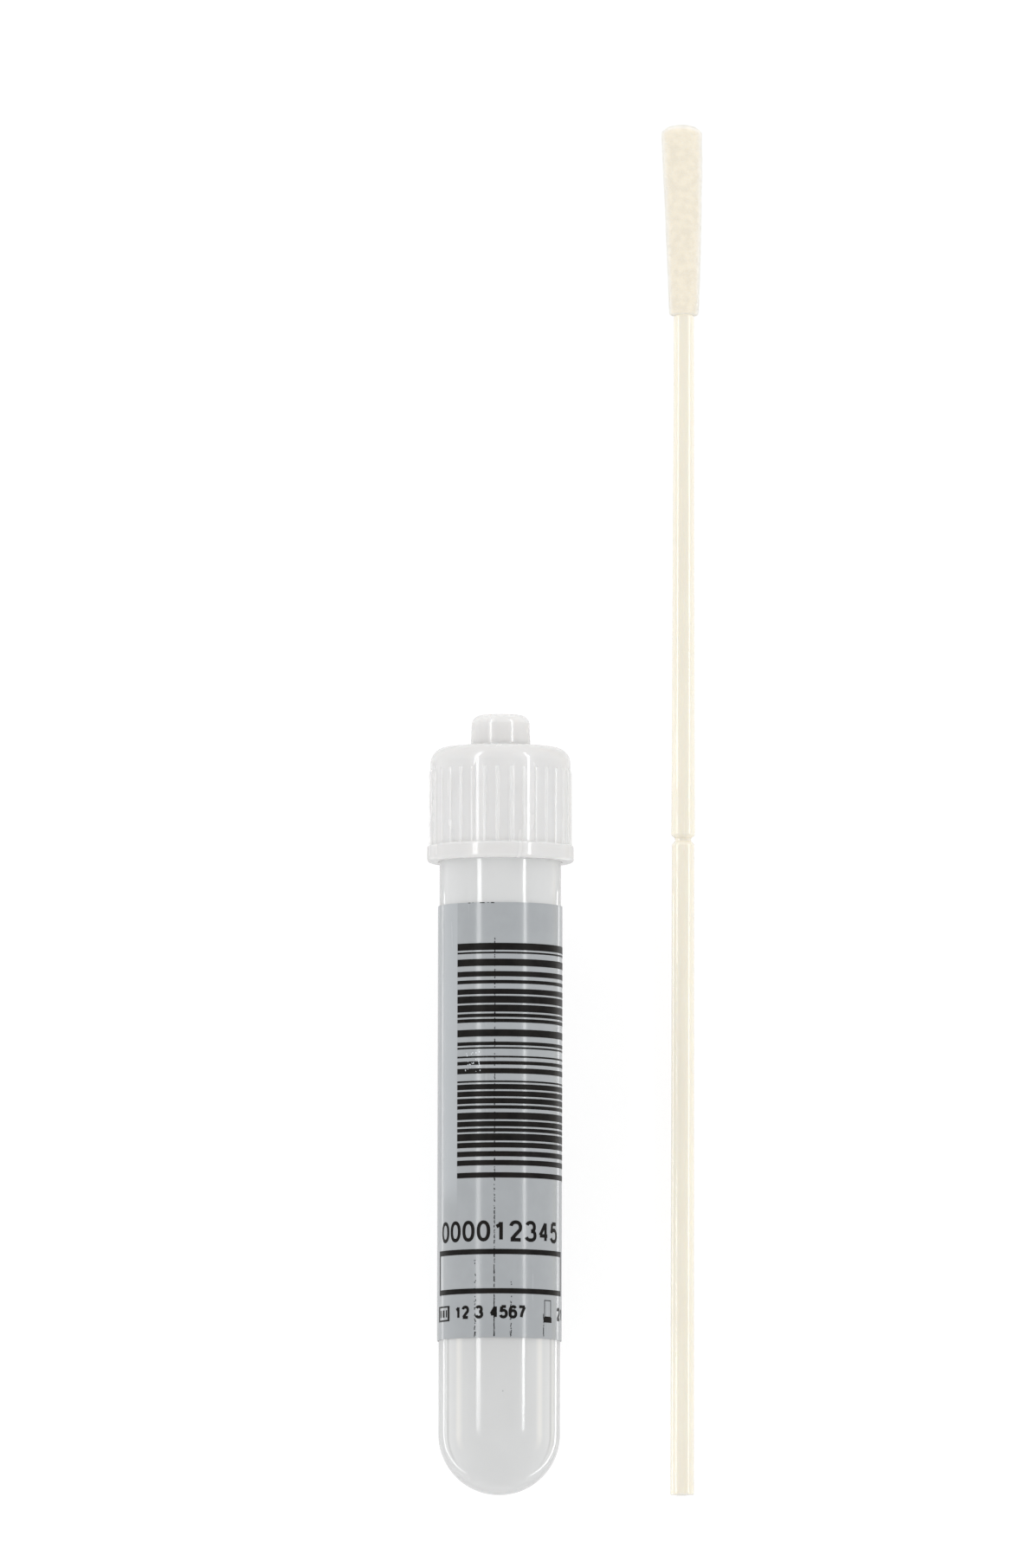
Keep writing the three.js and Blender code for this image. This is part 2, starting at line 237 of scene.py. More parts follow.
class SwabSizes(bpy.types.PropertyGroup):
    """The swab's shaft with its snap groove, and its flocked tip."""
    taper: length("Taper", "Loss of radius up the shaft", 0.18)
    core_step: length("Core step", "Step down to the core under the flock", 0.12)
    core_cover: length("Core cover", "Flock over the end of the core", 1.3)
    snap_height: length("Snap height", "Shaft's end to the snap groove", 72.6)
    snap_width: length("Snap width", "Width of the snap groove", 1.0)
    snap_depth: length("Snap depth", "Depth of the snap groove", 0.4)
    grip_taper: length("Grip taper", "Loss of radius from the end to the snap groove", 0.06)
    base_pile: length("Base pile", "Flock over the shaft at the tip's lower end", 0.46)
    tip_dome: length("Tip dome", "Height of the tip's domed end", 1.05)
    tip_bend: length("Tip bend", "How far the tip's end leans to the left", 0.3)
    fibre_length: length("Fibre length", "Length of a tuft of flock", 0.24)
    fibre_width: length("Fibre width", "Width of a tuft of flock", 0.035)
    fibres: count("Fibres", "Number of tufts", 18000)
    fibre_seed: count("Fibre seed", "Seed of the tufts", 7)
    plastic: colour("Plastic", "Colour of the shaft", 0.935, 0.88, 0.75)
    flock: colour("Flock", "Colour deep in the flock", 0.915, 0.845, 0.705)
    fibre: colour("Fibre", "Colour of the ends of the tufts", 0.985, 0.965, 0.92)


class StageSettings(bpy.types.PropertyGroup):
    """Floor, light and camera."""
    distance: length("Distance", "Camera to the set", 3000)
    view_height: length("View height", "Height of the view at the set", 173.2)
    elevation: degrees("Elevation", "Camera above the horizon", 84.0)
    roll: degrees("Roll", "Roll of the camera", 0.12)
    aim: FloatVectorProperty(name="Aim", description="Point at the middle of the view",
                             default=(-6.5 * MM, 2.41 * MM, 6.7 * MM), subtype="TRANSLATION")
    lamp_distance: length("Lamp distance", "Lamps to the middle of the set", 1000)
    left_lamp: degrees("Left lamp", "Turn of the left lamp from overhead", 40)
    right_lamp: degrees("Right lamp", "Turn of the right lamp from overhead", 46)
    left_width: length("Left width", "Width of the left lamp", 140)
    right_width: length("Right width", "Width of the right lamp", 90)
    lamp_length: length("Lamp length", "Length of a lamp", 1200)
    lamp_start: FloatProperty(name="Lamp start", description="Near end of the lamps",
                              default=-0.03, unit="LENGTH")
    left_power: number("Left power", "Power of the left lamp, in watts", 2.9)
    right_power: number("Right power", "Power of the right lamp, in watts", 2.7)
    shaft_lamps: degrees("Shaft lamps", "Turn of the shaft's two lamps from overhead", 64)
    shaft_width: length("Shaft lamp width", "Width of the shaft's lamps", 200)
    shaft_power: number("Shaft lamp power", "Power of one of the shaft's lamps", 3.1)
    card_power: number("Card power", "Power of the fill beside the shaft's lower part", 0.0017)
    strip_left: FloatProperty(name="Left strip", description="X of the strip at the left",
                              default=-24.2 * MM, unit="LENGTH")
    strip_right: FloatProperty(name="Right strip", description="X of the strip at the right",
                               default=7.7 * MM, unit="LENGTH")
    strip_width: length("Strip width", "Width of the low strips", 1.5)
    strip_power: number("Strip power", "Power of a low strip, in watts", 0.0011)
    sky_top: number("Sky top", "Strength of the soft light from overhead", 0.145)
    sky_side: number("Sky side", "How much stronger the soft light is at the sides", 1.2)
    floor_size: length("Floor size", "Half of the floor's side", 10000)
    floor_glow: number("Floor glow", "Brightness that the floor shows of its own", 0.76)
    floor_tone: number("Floor tone", "How much the floor takes up shadows", 0.35)
    floor_mirrored: number("Floor mirrored", "Share of its glow the floor shows in gloss", 0.3)


class SwabTubeSettings(bpy.types.PropertyGroup):
    """All the settings of the set."""
    tube: PointerProperty(type=TubeSizes)
    cap: PointerProperty(type=CapSizes)
    label: PointerProperty(type=LabelSizes)
    swab: PointerProperty(type=SwabSizes)
    stage: PointerProperty(type=StageSettings)


def settings():
    return bpy.context.scene.swab_tube


# ---------------------------------------------------------------- node trees
def node(tree, kind, links=None, **values):
    """A new node. links gives each input a value or the socket that feeds it."""
    made = tree.nodes.new(kind)
    for name, value in values.items():
        setattr(made, name, value)
    for key, value in (links or {}).items():
        if isinstance(value, bpy.types.NodeSocket):
            tree.links.new(value, made.inputs[key])
        else:
            made.inputs[key].default_value = value
    return made


def maths(tree, operation, *values, clamp=False):
    """The result of a calculation with numbers."""
    return node(tree, "ShaderNodeMath", dict(enumerate(values)), operation=operation,
                use_clamp=clamp).outputs[0]


def vector_maths(tree, operation, *values):
    """The result of a calculation with vectors."""
    made = node(tree, "ShaderNodeVectorMath", dict(enumerate(values)), operation=operation)
    return made.outputs["Value" if operation == "DISTANCE" else "Vector"]


def product(tree, first, *more):
    """The product of several values."""
    for value in more:
        first = maths(tree, "MULTIPLY", first, value)
    return first


def xyz(tree, x=0.0, y=0.0, z=0.0):
    """A vector from its three parts."""
    return node(tree, "ShaderNodeCombineXYZ", {0: x, 1: y, 2: z}).outputs[0]


def part_of(tree, vector, letter):
    """One part of a vector."""
    return node(tree, "ShaderNodeSeparateXYZ", {0: vector}).outputs[letter]


def ramp(tree, value, low, high, to_low=0.0, to_high=1.0):
    """Value carried smoothly from one range to another."""
    return node(tree, "ShaderNodeMapRange",
                {"Value": value, "From Min": low, "From Max": high,
                 "To Min": to_low, "To Max": to_high},
                interpolation_type="SMOOTHSTEP").outputs["Result"]


def falling(tree, value, low, high):
    """1 below a range of the value, and 0 above it."""
    return ramp(tree, value, low, high, 1.0, 0.0)


def band(tree, value, rise_from, rise_to, fall_from, fall_to):
    """1 between the inner two of four edges, and 0 outside the outer two."""
    return product(tree, ramp(tree, value, rise_from, rise_to),
                   falling(tree, value, fall_from, fall_to))


def mixed(tree, share, first, second):
    """One colour mixed with another. The sockets are those of the node's colours."""
    return node(tree, "ShaderNodeMix", {0: share, 6: first, 7: second},
                data_type="RGBA").outputs[2]


def layered(tree, tone, *layers):
    """A colour with others laid over it in turn, each by its own share."""
    for share, over in layers:
        tone = mixed(tree, share, tone, over)
    return tone


def new_tree(kind, name, inputs, outputs):
    """A node tree and its input and output nodes. An input is given its first value, or the
    name of its kind where it has none."""
    tree = bpy.data.node_groups.new(name, kind)
    for label, value in inputs.items():
        socket = {int: "Int", float: "Float", tuple: "Color"}.get(type(value), value)
        made = tree.interface.new_socket(label, in_out="INPUT",
                                         socket_type=f"NodeSocket{socket}")
        if socket != value:
            made.default_value = value
    for label, socket in outputs.items():
        tree.interface.new_socket(label, in_out="OUTPUT", socket_type=f"NodeSocket{socket}")
    return tree, node(tree, "NodeGroupInput").outputs, node(tree, "NodeGroupOutput").inputs


def feed(tree, ends, **sources):
    """Links the sources to the sockets of those names."""
    for name, source in sources.items():
        tree.links.new(source, ends[name.replace("_", " ")])


def growth_tree(name, **inputs):
    """A Geometry Nodes tree that takes a shape, some values and a material."""
    return new_tree("GeometryNodeTree", name,
                    {"Geometry": "Geometry", **inputs, "Material": "Material"},
                    {"Geometry": "Geometry"})


def random_value(tree, seed, low, high):
    """A random number for each point, or a random vector where the limits are vectors."""
    vector = isinstance(low, tuple)
    made = node(tree, "FunctionNodeRandomValue",
                dict(zip((0, 1) if vector else (2, 3), (low, high)), Seed=seed),
                data_type="FLOAT_VECTOR" if vector else "FLOAT")
    return made.outputs[0 if vector else 1]


def points_at(tree, many, position):
    """As many points as asked, each at its own place."""
    points = node(tree, "GeometryNodePoints", {"Count": many})
    return node(tree, "GeometryNodeSetPosition",
                {"Geometry": points.outputs[0], "Position": position}).outputs[0]


def copies_on(tree, points, shape, **inputs):
    """Copies of a shape set on points."""
    return node(tree, "GeometryNodeInstanceOnPoints",
                {"Points": points, "Instance": shape, **inputs}).outputs[0]


def made_real(tree, copies):
    """Copies as a mesh of their own."""
    return node(tree, "GeometryNodeRealizeInstances", {0: copies}).outputs[0]


def ended(tree, out, geometry, material):
    """Ends a tree: its geometry is made real and gets its material."""
    painted = node(tree, "GeometryNodeSetMaterial",
                   {"Geometry": made_real(tree, geometry), "Material": material})
    tree.links.new(painted.outputs[0], out["Geometry"])
    return tree


# ---------------------------------------------------------------- meshes
def arc(centre, radius, start, end, steps):
    """Points round a circle between two angles in degrees, both ends included."""
    points = []
    for i in range(steps + 1):
        angle = math.radians(start + (end - start) * i / steps)
        points.append((centre[0] + radius * math.cos(angle),
                       centre[1] + radius * math.sin(angle)))
    return points


def softened(corners, steps=4):
    """An outline whose corners, given as (radius, height, cut), are rounded. The cut is how
    far from the corner its round begins."""
    points = []
    for i, (radius, height, *cut) in enumerate(corners):
        here = Vector((radius, height))
        if not cut or i in (0, len(corners) - 1):
            points.append((radius, height))
            continue
        ends = []
        for other in (corners[i - 1], corners[i + 1]):
            way = Vector(other[:2]) - here
            ends.append(here + way.normalized() * min(cut[0], way.length * 0.49))
        for k in range(steps + 1):
            t = k / steps
            point = ends[0] * (1 - t) ** 2 + here * 2 * t * (1 - t) + ends[1] * t * t
            points.append(tuple(point))
    return points


def held(outline):
    """An outline with a row near each end of its long straight parts, so that the shading of
    a round corner stays at the corner."""
    points = [outline[0]]
    for a, b in zip(outline, outline[1:]):
        far = math.dist(a[:2], b[:2])
        if far > 8 * CORNER_ROOM:
            for share in (CORNER_ROOM / far, 1 - CORNER_ROOM / far):
                points.append(tuple(p + (q - p) * share for p, q in zip(a[:2], b[:2])))
        points.append(b)
    return points


def lathe(outline, facets, relief=None):
    """Vertices and faces of an outline of (radius, height) turned about +Y. It runs up the
    outside, so that the faces point out. A third number is the share of relief(angle, height)
    that is added to the radius there."""
    verts, rings, faces = [], [], []
    for radius, height, *share in held(outline):
        if radius < ON_AXIS:
            rings.append([len(verts)])
            verts.append((0, height, 0))
            continue
        rings.append(range(len(verts), len(verts) + facets))
        for k in range(facets):
            angle = TURN * k / facets
            out = radius + (share[0] * relief(angle, height) if share else 0)
            verts.append((out * math.sin(angle), height, out * math.cos(angle)))
    for low, high in zip(rings, rings[1:]):
        for k in range(facets):
            n = (k + 1) % facets
            if len(low) == 1:
                faces.append((low[0], high[n], high[k]))
            elif len(high) == 1:
                faces.append((low[k], low[n], high[0]))
            else:
                faces.append((low[k], low[n], high[n], high[k]))
    return verts, faces


def slab(start, end, foot, top, inner, outer, rows=1):
    """Vertices and faces of a thin plate bent round the axis, between two angles and two
    heights."""
    columns = max(1, math.ceil((end - start) / BEND_STEP))
    verts = []
    for radius in (outer, inner):
        for j in range(rows + 1):
            height = foot + (top - foot) * j / rows
            for i in range(columns + 1):
                angle = start + (end - start) * i / columns
                verts.append((radius * math.sin(angle), height, radius * math.cos(angle)))
    wide, layer = columns + 1, (columns + 1) * (rows + 1)
    faces = []
    for j in range(rows):
        for i in range(columns):
            a = j * wide + i
            faces.append((a, a + 1, a + 1 + wide, a + wide))
            faces.append(tuple(layer + v for v in (a + wide, a + 1 + wide, a + 1, a)))
    edge = [*range(columns), *range(columns, rows * wide + columns, wide),
            *range(rows * wide + columns, rows * wide, -1), *range(rows * wide, 0, -wide)]
    for a, b in zip(edge, edge[1:] + edge[:1]):
        faces.append((b, a, layer + a, layer + b))
    return verts, faces


def joined(parts):
    """Several lots of vertices and faces as one."""
    verts, faces = [], []
    for more_verts, more_faces in parts:
        faces += [tuple(v + len(verts) for v in face) for face in more_faces]
        verts += more_verts
    return verts, faces


def new_object(name, verts, faces, place=None, sharp=35):
    """A smooth-shaded object at the origin whose mesh lies at its place."""
    mesh = bpy.data.meshes.new(name)
    mesh.from_pydata(verts, [], faces)
    return with_mesh(name, mesh, place, sharp)


def with_mesh(name, mesh, place=None, sharp=35):
    """The same for a mesh that is there already. sharp is the angle of a hard edge."""
    mesh.name = name
    if place is not None:
        mesh.transform(place)
    mesh.validate()
    mesh.shade_smooth()
    mesh.set_sharp_from_angle(angle=math.radians(sharp))
    piece = bpy.data.objects.new(name, mesh)
    bpy.context.scene.collection.objects.link(piece)
    return piece


def grown(name, base, tree, place, sharp=35, **inputs):
    """The piece that a tree makes from a base object, which goes."""
    modifier = base.modifiers.new(name, "NODES")
    modifier.node_group = tree
    for item in tree.interface.items_tree:
        key = item.name.lower().replace(" ", "_")
        if item.in_out == "INPUT" and key in inputs:
            modifier[item.identifier] = inputs[key]
    evaluated = base.evaluated_get(bpy.context.evaluated_depsgraph_get())
    mesh = bpy.data.meshes.new_from_object(evaluated)
    base.modifiers.remove(modifier)
    bpy.data.objects.remove(base)
    if not mesh.polygons:
        raise RuntimeError(f"the tree made nothing for {name}")
    return with_mesh(name, mesh, place, sharp)


def finished(piece, body, material=None, replaces=()):
    """Gives a piece its material and the body it moves with, and hides the parts that it
    replaces.
    """
    if material is not None:
        piece.data.materials.append(material)
    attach(piece, body)
    if replaces:
        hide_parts(*replaces)


# ---------------------------------------------------------------- finishes
def grain_group(name):
    """Two tones in soft patches, with an uneven gloss and a fine relief."""
    tree, given, out = new_tree(
        "ShaderNodeTree", name,
        {"Vector": "Vector", "Colour": (1, 1, 1, 1), "Second Colour": (1, 1, 1, 1),
         "Patch Scale": 300.0, "Fine Scale": 2500.0, "Roughness": 0.3,
         "Roughness Spread": 0.1},
        {"Colour": "Color", "Roughness": "Float", "Height": "Float"})
    patches = node(tree, "ShaderNodeTexNoise",
                   {"Vector": given["Vector"], "Scale": given["Patch Scale"], "Detail": 3.0})
    fine = node(tree, "ShaderNodeTexNoise",
                {"Vector": given["Vector"], "Scale": given["Fine Scale"], "Detail": 4.0,
                 "Roughness": 0.6})
    share = ramp(tree, patches.outputs["Fac"], 0.32, 0.68)
    wander = product(tree, maths(tree, "SUBTRACT", patches.outputs["Fac"], 0.5),
                     given["Roughness Spread"])
    feed(tree, out,
         Colour=mixed(tree, share, given["Colour"], given["Second Colour"]),
         Roughness=maths(tree, "ADD", given["Roughness"], wander, clamp=True),
         Height=fine.outputs["Fac"])
    return tree


def marks_group(name):
    """Fine rubs that run along a piece, as handling leaves."""
    tree, given, out = new_tree(
        "ShaderNodeTree", name,
        {"Vector": "Vector", "Scale": 900.0, "Stretch": 0.06, "Amount": 0.5},
        {"Mask": "Float"})
    squeezed = vector_maths(tree, "MULTIPLY", given["Vector"],
                            xyz(tree, 1.0, given["Stretch"], 1.0))
    streaks = node(tree, "ShaderNodeTexNoise",
                   {"Vector": squeezed, "Scale": given["Scale"], "Detail": 2.0})
    spread = node(tree, "ShaderNodeTexNoise",
                  {"Vector": given["Vector"], "Scale": 120.0, "Detail": 1.0})
    lines = ramp(tree, streaks.outputs["Fac"], 0.62, 0.74)
    places = ramp(tree, spread.outputs["Fac"], 0.45, 0.65)
    feed(tree, out, Mask=product(tree, lines, places, given["Amount"]))
    return tree


def new_material(name, lets_past=0.0, **sockets):
    """A material, its tree, its shader and its Object coordinates. A milky plastic, a thin
    film or a loose pile lets a share of the light past, which thins its shadow."""
    material = bpy.data.materials.new(name)
    material.use_nodes = True
    tree = material.node_tree
    shader = next(n for n in tree.nodes if n.type == "BSDF_PRINCIPLED")
    for key, value in sockets.items():
        shader.inputs[key.replace("_", " ")].default_value = value
    if lets_past:
        shadow = node(tree, "ShaderNodeLightPath").outputs["Is Shadow Ray"]
        feed(tree, shader.inputs, Alpha=ramp(tree, shadow, 0.0, 1.0, 1.0, 1.0 - lets_past))
    place = node(tree, "ShaderNodeTexCoord").outputs["Object"]
    return material, tree, shader, place


def group_in(tree, name, build, place, **values):
    """A shared node group in a material, with values of its own. The first to use it builds
    it."""
    group = bpy.data.node_groups.get(name) or build(name)
    named = {key.replace("_", " ").title(): value for key, value in values.items()}
    return node(tree, "ShaderNodeGroup", {"Vector": place, **named}, node_tree=group).outputs


def grained(tree, place, first, second, patch, fine, roughness, spread):
    """The grain between two tones in a material."""
    return group_in(tree, "surface_grain", grain_group, place, colour=first,
                    second_colour=second, patch_scale=patch, fine_scale=fine,
                    roughness=roughness, roughness_spread=spread)


def marked(tree, place, scale, stretch, amount):
    """The handling marks in a material."""
    return group_in(tree, "handling_marks", marks_group, place, scale=scale,
                    stretch=stretch, amount=amount)["Mask"]


def surfaced(tree, shader, grain, tone=None, marks=None, depth=0.01 * MM, relief=0.2):
    """Feeds a shader its colour, its gloss, which marks dull, and its fine relief."""
    tone = tone or grain["Colour"]
    dull = maths(tree, "ADD", grain["Roughness"], marks) if marks else grain["Roughness"]
    bump = node(tree, "ShaderNodeBump",
                {"Height": grain["Height"], "Distance": depth, "Strength": relief})
    feed(tree, shader.inputs, Base_Color=tone, Roughness=dull, Normal=bump.outputs["Normal"])


def turned_away(tree):
    """0 where a surface faces the eye, and 1 at its rim."""
    return node(tree, "ShaderNodeLayerWeight", {"Blend": 0.5}).outputs["Facing"]


def shaded(value, factor):
    """A colour made darker or lighter."""
    return (*(min(1.0, part * factor) for part in value[:3]), 1)


def tube_material():
    """Clear plastic, lighter over its round bottom and up its neck, with painted light on its
    sides, painted shade at its rim, and a painted warm glint and painted dark line along the
    bare part below the label in place of its inner wall.
    """
    clear = settings().tube.plastic
    material, tree, shader, place = new_material(
        "clear_tube_plastic", lets_past=0.7, Transmission_Weight=0.35, IOR=1.49,
        Coat_Weight=0.4, Coat_Roughness=0.04, Sheen_Weight=0.4, Sheen_Roughness=0.5)
    grain = grained(tree, place, clear, shaded(clear, 0.975), patch=140, fine=5200,
                    roughness=0.06, spread=0.05)
    marks = marked(tree, place, scale=900, stretch=0.05, amount=0.12)

    height, away, foot = part_of(tree, place, "Y"), turned_away(tree), TUBE_LOW.y
    bottom = falling(tree, height, foot + 2.5 * MM, foot + 9 * MM)
    neck = ramp(tree, height, LABEL_HIGH.y - 2 * MM, LABEL_HIGH.y + 0.5 * MM, 0.0, 0.6)
    # A painted warm glint and a painted dark line, in place of the light that the inner wall
    # bends, lie where the surface turns away by so much.
    # They fade out over the round bottom and under the label.
    painted_glint_band, painted_line_band = (0.19, 0.255, 0.265, 0.32), (0.42, 0.46, 0.47, 0.51)
    below = falling(tree, height, LABEL_LOW.y, LABEL_LOW.y + 4 * MM)
    # wall is the painted warm glint, and edge below it is the painted dark line.
    wall = product(tree, below, ramp(tree, height, foot + 4 * MM, foot + 6.5 * MM),
                   band(tree, away, *painted_glint_band))
    edge = product(tree, below, ramp(tree, height, foot + 1.5 * MM, foot + 6.5 * MM),
                   band(tree, away, *painted_line_band))
    speck_place = TUBE_PLACE @ Vector((0.4 * MM, 11.1 * MM, TUBE_RADIUS))
    speck = ramp(tree, vector_maths(tree, "DISTANCE", place, tuple(speck_place)),
                 0.05 * MM, 0.1 * MM, 0.4, 0.0)
    # The round bottom and the neck are made lighter. The painted light on the sides and the
    # painted shade at the rim follow the angle of view. Over them lie the painted glint, the
    # painted dark line and the speck.
    tone = layered(tree, grain["Colour"],
                   (maths(tree, "ADD", bottom, neck), shaded(clear, 1.07)),
                   (ramp(tree, away, 0.0, 0.4), shaded(clear, 1.10)),
                   (ramp(tree, away, 0.5, 0.8), shaded(clear, 0.90)),
                   (wall, (0.98, 0.968, 0.935, 1)),
                   (edge, shaded(clear, 0.85)),
                   (speck, (0.05, 0.05, 0.05, 1)))
    surfaced(tree, shader, grain, tone, marks, relief=0.22)
    return material


def cap_material():
    """Milky plastic with painted shade: darker over its shoulder and crown, a little less on its
    nipple, darker round its lower band, and darker towards its rim.
    """
    milky = settings().cap.plastic
    material, tree, shader, place = new_material(
        "milky_cap_plastic", lets_past=0.9, Transmission_Weight=0.06, IOR=1.49,
        Subsurface_Weight=0.9, Subsurface_Scale=0.003, Subsurface_Radius=(1.0, 0.95, 0.9),
        Coat_Weight=0.75, Coat_Roughness=0.03)
    grain = grained(tree, place, milky, shaded(milky, 0.97), patch=260, fine=3200,
                    roughness=0.26, spread=0.05)
    marks = marked(tree, place, scale=700, stretch=0.2, amount=0.15)

    height, crown = part_of(tree, place, "Y"), CAP_TOP_POINT.y - NIPPLE_HEIGHT
    # Painted shade: the shoulder and crown, the nipple and the band at the foot are made darker,
    # and so is the rim, where the shade follows the angle of view.
    shoulder = ramp(tree, height, crown - 3 * MM, crown + 0.8 * MM)
    nipple = ramp(tree, height, crown + 0.3 * MM, crown + 0.9 * MM)
    foot = falling(tree, height, CAP_LOW.y + 1.9 * MM, CAP_LOW.y + 2.5 * MM)
    rim = ramp(tree, turned_away(tree), 0.45, 0.95)
    tone = layered(tree, grain["Colour"],
                   *((share, shaded(milky, dark)) for share, dark in (
                       (shoulder, 0.85), (nipple, 0.94), (foot, 0.92), (rim, 0.85))))
    surfaced(tree, shader, grain, tone, marks)
    return material


def paler_strip_mask(tree, place):
    """A mask for the paler strip up the left of the label's front."""
    foot = TUBE_PLACE @ Vector((0, label_ends()[0], 0))
    part = node(tree, "ShaderNodeSeparateXYZ", {0: place}).outputs
    edges = [foot.x + LABEL_RADIUS * math.sin(math.radians(angle))
             for angle in (-66, -62, -44, -42.5)]
    return product(tree, band(tree, part["X"], *edges),
                   ramp(tree, part["Y"], foot.y + 13.5 * MM, foot.y + 17.5 * MM),
                   ramp(tree, part["Z"], foot.z + 0.5 * MM, foot.z + 1.5 * MM))


def film_material():
    """The label's grey film, rubbed and with a paler strip."""
    film = settings().label.film
    material, tree, shader, place = new_material(
        "label_film", lets_past=0.7, IOR=1.48, Coat_Weight=0.35, Coat_Roughness=0.10,
        Sheen_Weight=0.15, Sheen_Roughness=0.5)
    grain = grained(tree, place, film, shaded(film, 1.05), patch=420, fine=5200,
                    roughness=0.20, spread=0.10)
    marks = marked(tree, place, scale=1300, stretch=0.04, amount=0.2)
    tone = layered(tree, grain["Colour"], (marks, shaded(film, 1.35)),
                   (product(tree, paler_strip_mask(tree, place), 0.85), shaded(film, 1.26)))
    surfaced(tree, shader, grain, tone, marks)
    return material


def ink_material():
    """Matt black ink, thin enough to let light past its shadow."""
    black = settings().label.black
    material, tree, shader, place = new_material(
        "label_ink", lets_past=0.7, IOR=1.45, Specular_IOR_Level=0.12)
    grain = grained(tree, place, black, shaded(black, 2.2), patch=900, fine=6000,
                    roughness=0.34, spread=0.15)
    surfaced(tree, shader, grain, depth=0.004 * MM, relief=0.3)
    return material


def bare_material():
    """The pale film that shows where the ink is worn off."""
    pale = shaded(settings().label.film, 2.1)
    material, tree, shader, place = new_material("worn_film", IOR=1.48)
    grain = grained(tree, place, pale, shaded(pale, 0.9), patch=900, fine=6000,
                    roughness=0.4, spread=0.1)
    surfaced(tree, shader, grain, depth=0.004 * MM, relief=0.3)
    return material


def shaft_material():
    """Cream plastic with a soft inside and a clear gloss."""
    cream = settings().swab.plastic
    material, tree, shader, place = new_material(
        "cream_shaft_plastic", IOR=1.5, Subsurface_Weight=0.35, Subsurface_Scale=0.0007,
        Subsurface_Radius=(1.0, 0.9, 0.7), Coat_Weight=0.8, Coat_Roughness=0.03)
    grain = grained(tree, place, cream, shaded(cream, 0.975), patch=180, fine=2600,
                    roughness=0.2, spread=0.06)
    marks = marked(tree, place, scale=1500, stretch=0.03, amount=0.15)
    surfaced(tree, shader, grain, marks=marks, depth=0.006 * MM, relief=0.12)
    return material


def flock_material(name, flock, relief):
    """A soft pile, painted paler towards its rim: a painted sheen for the ends of its fibres
    that show there.
    """
    material, tree, shader, place = new_material(
        name, lets_past=1.0, Sheen_Weight=0.15, Sheen_Roughness=0.5, Specular_IOR_Level=0.2)
    grain = grained(tree, place, shaded(flock, 0.955), shaded(flock, 1.03), patch=1300,
                    fine=9000, roughness=0.92, spread=0.1)
    # Painted sheen: paler towards the rim, following the angle of view.
    tone = layered(tree, grain["Colour"], (ramp(tree, turned_away(tree), 0.25, 0.85),
                                           (*settings().swab.fibre[:3], 1)))
    surfaced(tree, shader, grain, tone, depth=0.05 * MM, relief=relief)
    return material


# ---------------------------------------------------------------- tube and cap
def thread_relief(first, last, sizes):
    """How far a right-handed thread stands off at an angle and a height. Its ends fade."""
    pitch, fade = sizes.pitch, sizes.pitch * 0.35
    slope = (sizes.thread_base - sizes.thread_crest) / 2

    def smooth(value):
        value = min(1.0, max(0.0, value))
        return value * value * (3 - 2 * value)

    def relief(angle, height):
        turns = (height - first) / pitch - angle / TURN
        off = (turns - round(turns)) * pitch
        middle = height - off
        end = smooth((middle - first) / fade) * smooth((last - middle) / fade)
        return sizes.thread_height * end * smooth((sizes.thread_base / 2 - abs(off)) / slope)

    return relief


def rows_between(radius, foot, top, share):
    """Closely spaced rows up a straight wall that carries a thread."""
    steps = math.ceil((top - foot) / ROW_STEP)
    return [(radius, foot + (top - foot) * i / steps, share) for i in range(steps + 1)]


def cap_foot():
    """Height up the tube of the cap's lower edge."""
    return height_up(TUBE_FOOT, TUBE_ALONG, CAP_LOW.y,
                     BAND_RADIUS - settings().cap.band_bevel)


def tube_length():
    """Height of the tube's mouth above its foot."""
    rim = TUBE_RADIUS - settings().tube.neck_step - settings().tube.mouth_round / 2
    return height_up(TUBE_FOOT, TUBE_ALONG, TUBE_HIGH.y, -rim)


def make_tube():
    sizes = settings().tube
    top, bore, rim = tube_length(), TUBE_RADIUS - sizes.wall, sizes.mouth_round
    neck, step = TUBE_RADIUS - sizes.neck_step, cap_foot() + sizes.shoulder_cover
    outline = [
        *arc((0, TUBE_RADIUS), TUBE_RADIUS, -90, 0, steps=36),
        *softened([(TUBE_RADIUS, step - 3 * SOFT), (TUBE_RADIUS, step, SOFT),
                   (neck, step, SOFT), (neck, step + 3 * SOFT)]),
        *rows_between(neck, step + 4 * SOFT, top - 2 * rim, 1),
        *softened([(neck, top - 1.5 * rim), (neck, top, rim), (bore, top, rim),
                   (bore, top - 1.5 * rim)], steps=5),
        *arc((0, TUBE_RADIUS), bore, 0, -90, steps=36),
    ]
    relief = thread_relief(step + THREAD_START, top - TUBE_THREAD_STOP, sizes)
    piece = new_object("tube_wall", *lathe(outline, sizes.facets, relief), TUBE_PLACE)
    finished(piece, "tube", tube_material(), ["tube"])


